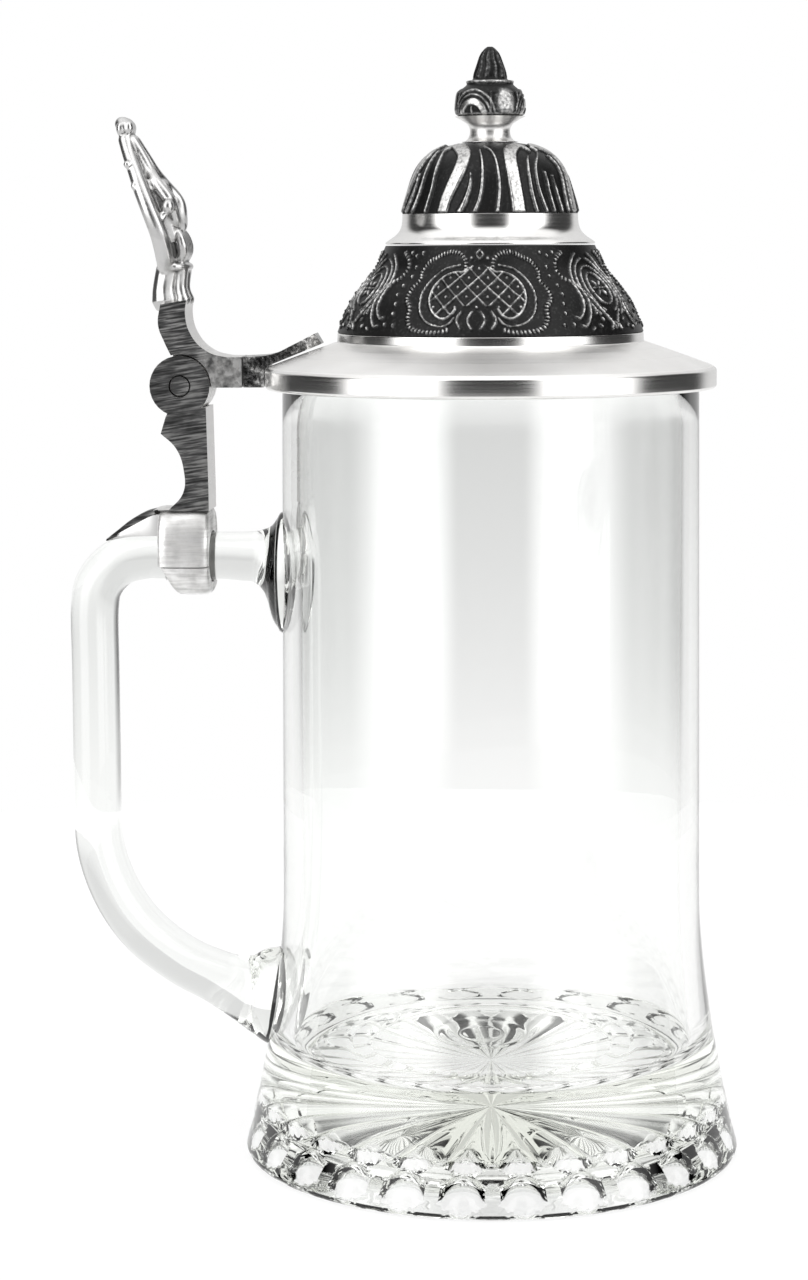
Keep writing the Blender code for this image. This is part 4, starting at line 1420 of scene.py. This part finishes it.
# Each stop is (degrees round from the camera or up from level, strength).
STUDIO_ROUND = [
    (0, 0.01), (20, 0.01), (33, 1.0), (67, 1.0), (83, 0.01), (128, 0.02), (142, 0.0), (180, 0.0),
]
SOFTBOX_STRENGTH = 2.6
STUDIO_BEHIND = [(0, 0.0), (128, 0.0), (142, 1.0), (180, 1.0)]
BACKDROP = [(-12, 0.96), (-8, 0.93), (-3, 0.76), (15, 0.78), (50, 0.9)]
STUDIO_OVERHEAD = [(-90, 0.0), (34, 0.0), (48, 0.45), (90, 0.5)]
TABLE_LIGHT = [(-90, 1.0), (-12, 1.0), (-8.2, 0.0), (90, 0.0)]
DISC_RADIUS = 380.0
DISC_SIDES = 96
DISC_Z = -0.2


def make_world():
    """Two tall soft boxes either side of the camera, a bright wall behind, dark between.

    The camera itself sees plain white.
    """
    world = bpy.data.worlds.new("studio")
    bpy.context.scene.world = world
    world.use_nodes = True
    world.node_tree.nodes.clear()
    sky = Nodes(world.node_tree)
    direction = sky.split(sky.node("ShaderNodeTexCoord").outputs["Generated"])
    toward = sky.math("MULTIPLY", direction["Y"], -1.0)
    azimuth = sky.math("ARCTAN2", direction["X"], toward)
    away = sky.math("ABSOLUTE", sky.math("SUBTRACT", azimuth, math.radians(CAMERA_AZIMUTH)))
    share = sky.math("DIVIDE", away, math.pi)
    upward = sky.math("ADD", sky.math("MULTIPLY", direction["Z"], 0.5), 0.5)

    def by_turn(stops):
        return sky.ramp(share, [(deg / 180, grey(level)) for deg, level in stops])

    def by_rise(stops):
        rises = [(0.5 + 0.5 * math.sin(math.radians(deg)), level) for deg, level in stops]
        return sky.ramp(upward, [(rise, grey(level)) for rise, level in rises])

    def background(strength):
        sockets = {"Color": (1, 1, 1, 1), "Strength": strength}
        return sky.node("ShaderNodeBackground", sockets).outputs["Background"]

    lamps = sky.math("MAXIMUM", by_turn(STUDIO_ROUND), by_rise(STUDIO_OVERHEAD))
    lamps = sky.math("MULTIPLY", lamps, SOFTBOX_STRENGTH)
    behind = sky.math("MULTIPLY", by_turn(STUDIO_BEHIND), by_rise(BACKDROP))
    room = sky.math("MAXIMUM", lamps, behind)
    table = by_rise(TABLE_LIGHT)
    kept = sky.math("MULTIPLY", room, sky.math("SUBTRACT", 1.0, table))
    seen = sky.node("ShaderNodeLightPath").outputs["Is Camera Ray"]
    shaders = {0: seen, 1: background(sky.math("ADD", kept, table)), 2: background(1.0)}
    mix = sky.node("ShaderNodeMixShader", shaders)
    sky.node("ShaderNodeOutputWorld", {"Surface": mix.outputs["Shader"]})


def make_floor():
    """A pale disc that also glows, so that it blends into the white behind it."""
    mesh = bpy.data.meshes.new("floor")
    edge = arc((0, 0), DISC_RADIUS, 0, 360 - 360 / DISC_SIDES, DISC_SIDES)
    mesh.from_pydata([(x * MM, y * MM, DISC_Z * MM) for x, y in edge], [], [list(range(DISC_SIDES))])
    look = Shading("floor_white", metallic=0.0)
    look.set(Base_Color=(0.15, 0.15, 0.15, 1), Roughness=0.9, Specular_IOR_Level=0.1)
    look.set(Emission_Color=(1, 1, 1, 1), Emission_Strength=0.86)
    mesh.materials.append(look.material)
    new_object("floor", mesh)


# ---- making


bpy.context.scene.view_settings.view_transform = "Standard"
make_camera()
make_world()
make_floor()

polished = polished_pewter()
casting = relief_pewter()
filed = filed_pewter()
bright = bright_casting()
edge_light = edge_pewter()
brushed = brushed_strap()

make_mug(glass_material())
make_lid_plate(polished, satin_pewter())
make_relief_band(casting)
make_shoulder(polished)
make_relief_dome(casting)
make_stem(worn_polish())
make_knob(casting)
make_thumblift(bright)
above_strap = [((0, 0, 130.4), (0, 0, -1))]
refined("hinge_upright", "hinge_shank", "mug", [filed, edge_light], 0.25, above_strap)
make_spur(bright, filed)
refined("hinge_arm", "hinge_lever", "lid", [arm_pewter(), edge_light], 0.25)
refined("tang", "lid_tang", "lid", [hammered_pewter()], 0.35)
make_strap_part("strap_over", -10.8, 190.8, rear_above_seam, brushed)
make_strap_part("strap_under", 192.4, 347.6, rear_below_seam, brushed, ("strap_lower",))

for name, look in (("hinge_pin", steel_wire()), ("pin_plug_front", filed), ("pin_plug_back", filed)):
    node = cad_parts[name]
    node.data.materials.clear()
    node.data.materials.append(look)

bpy.context.view_layer.update()
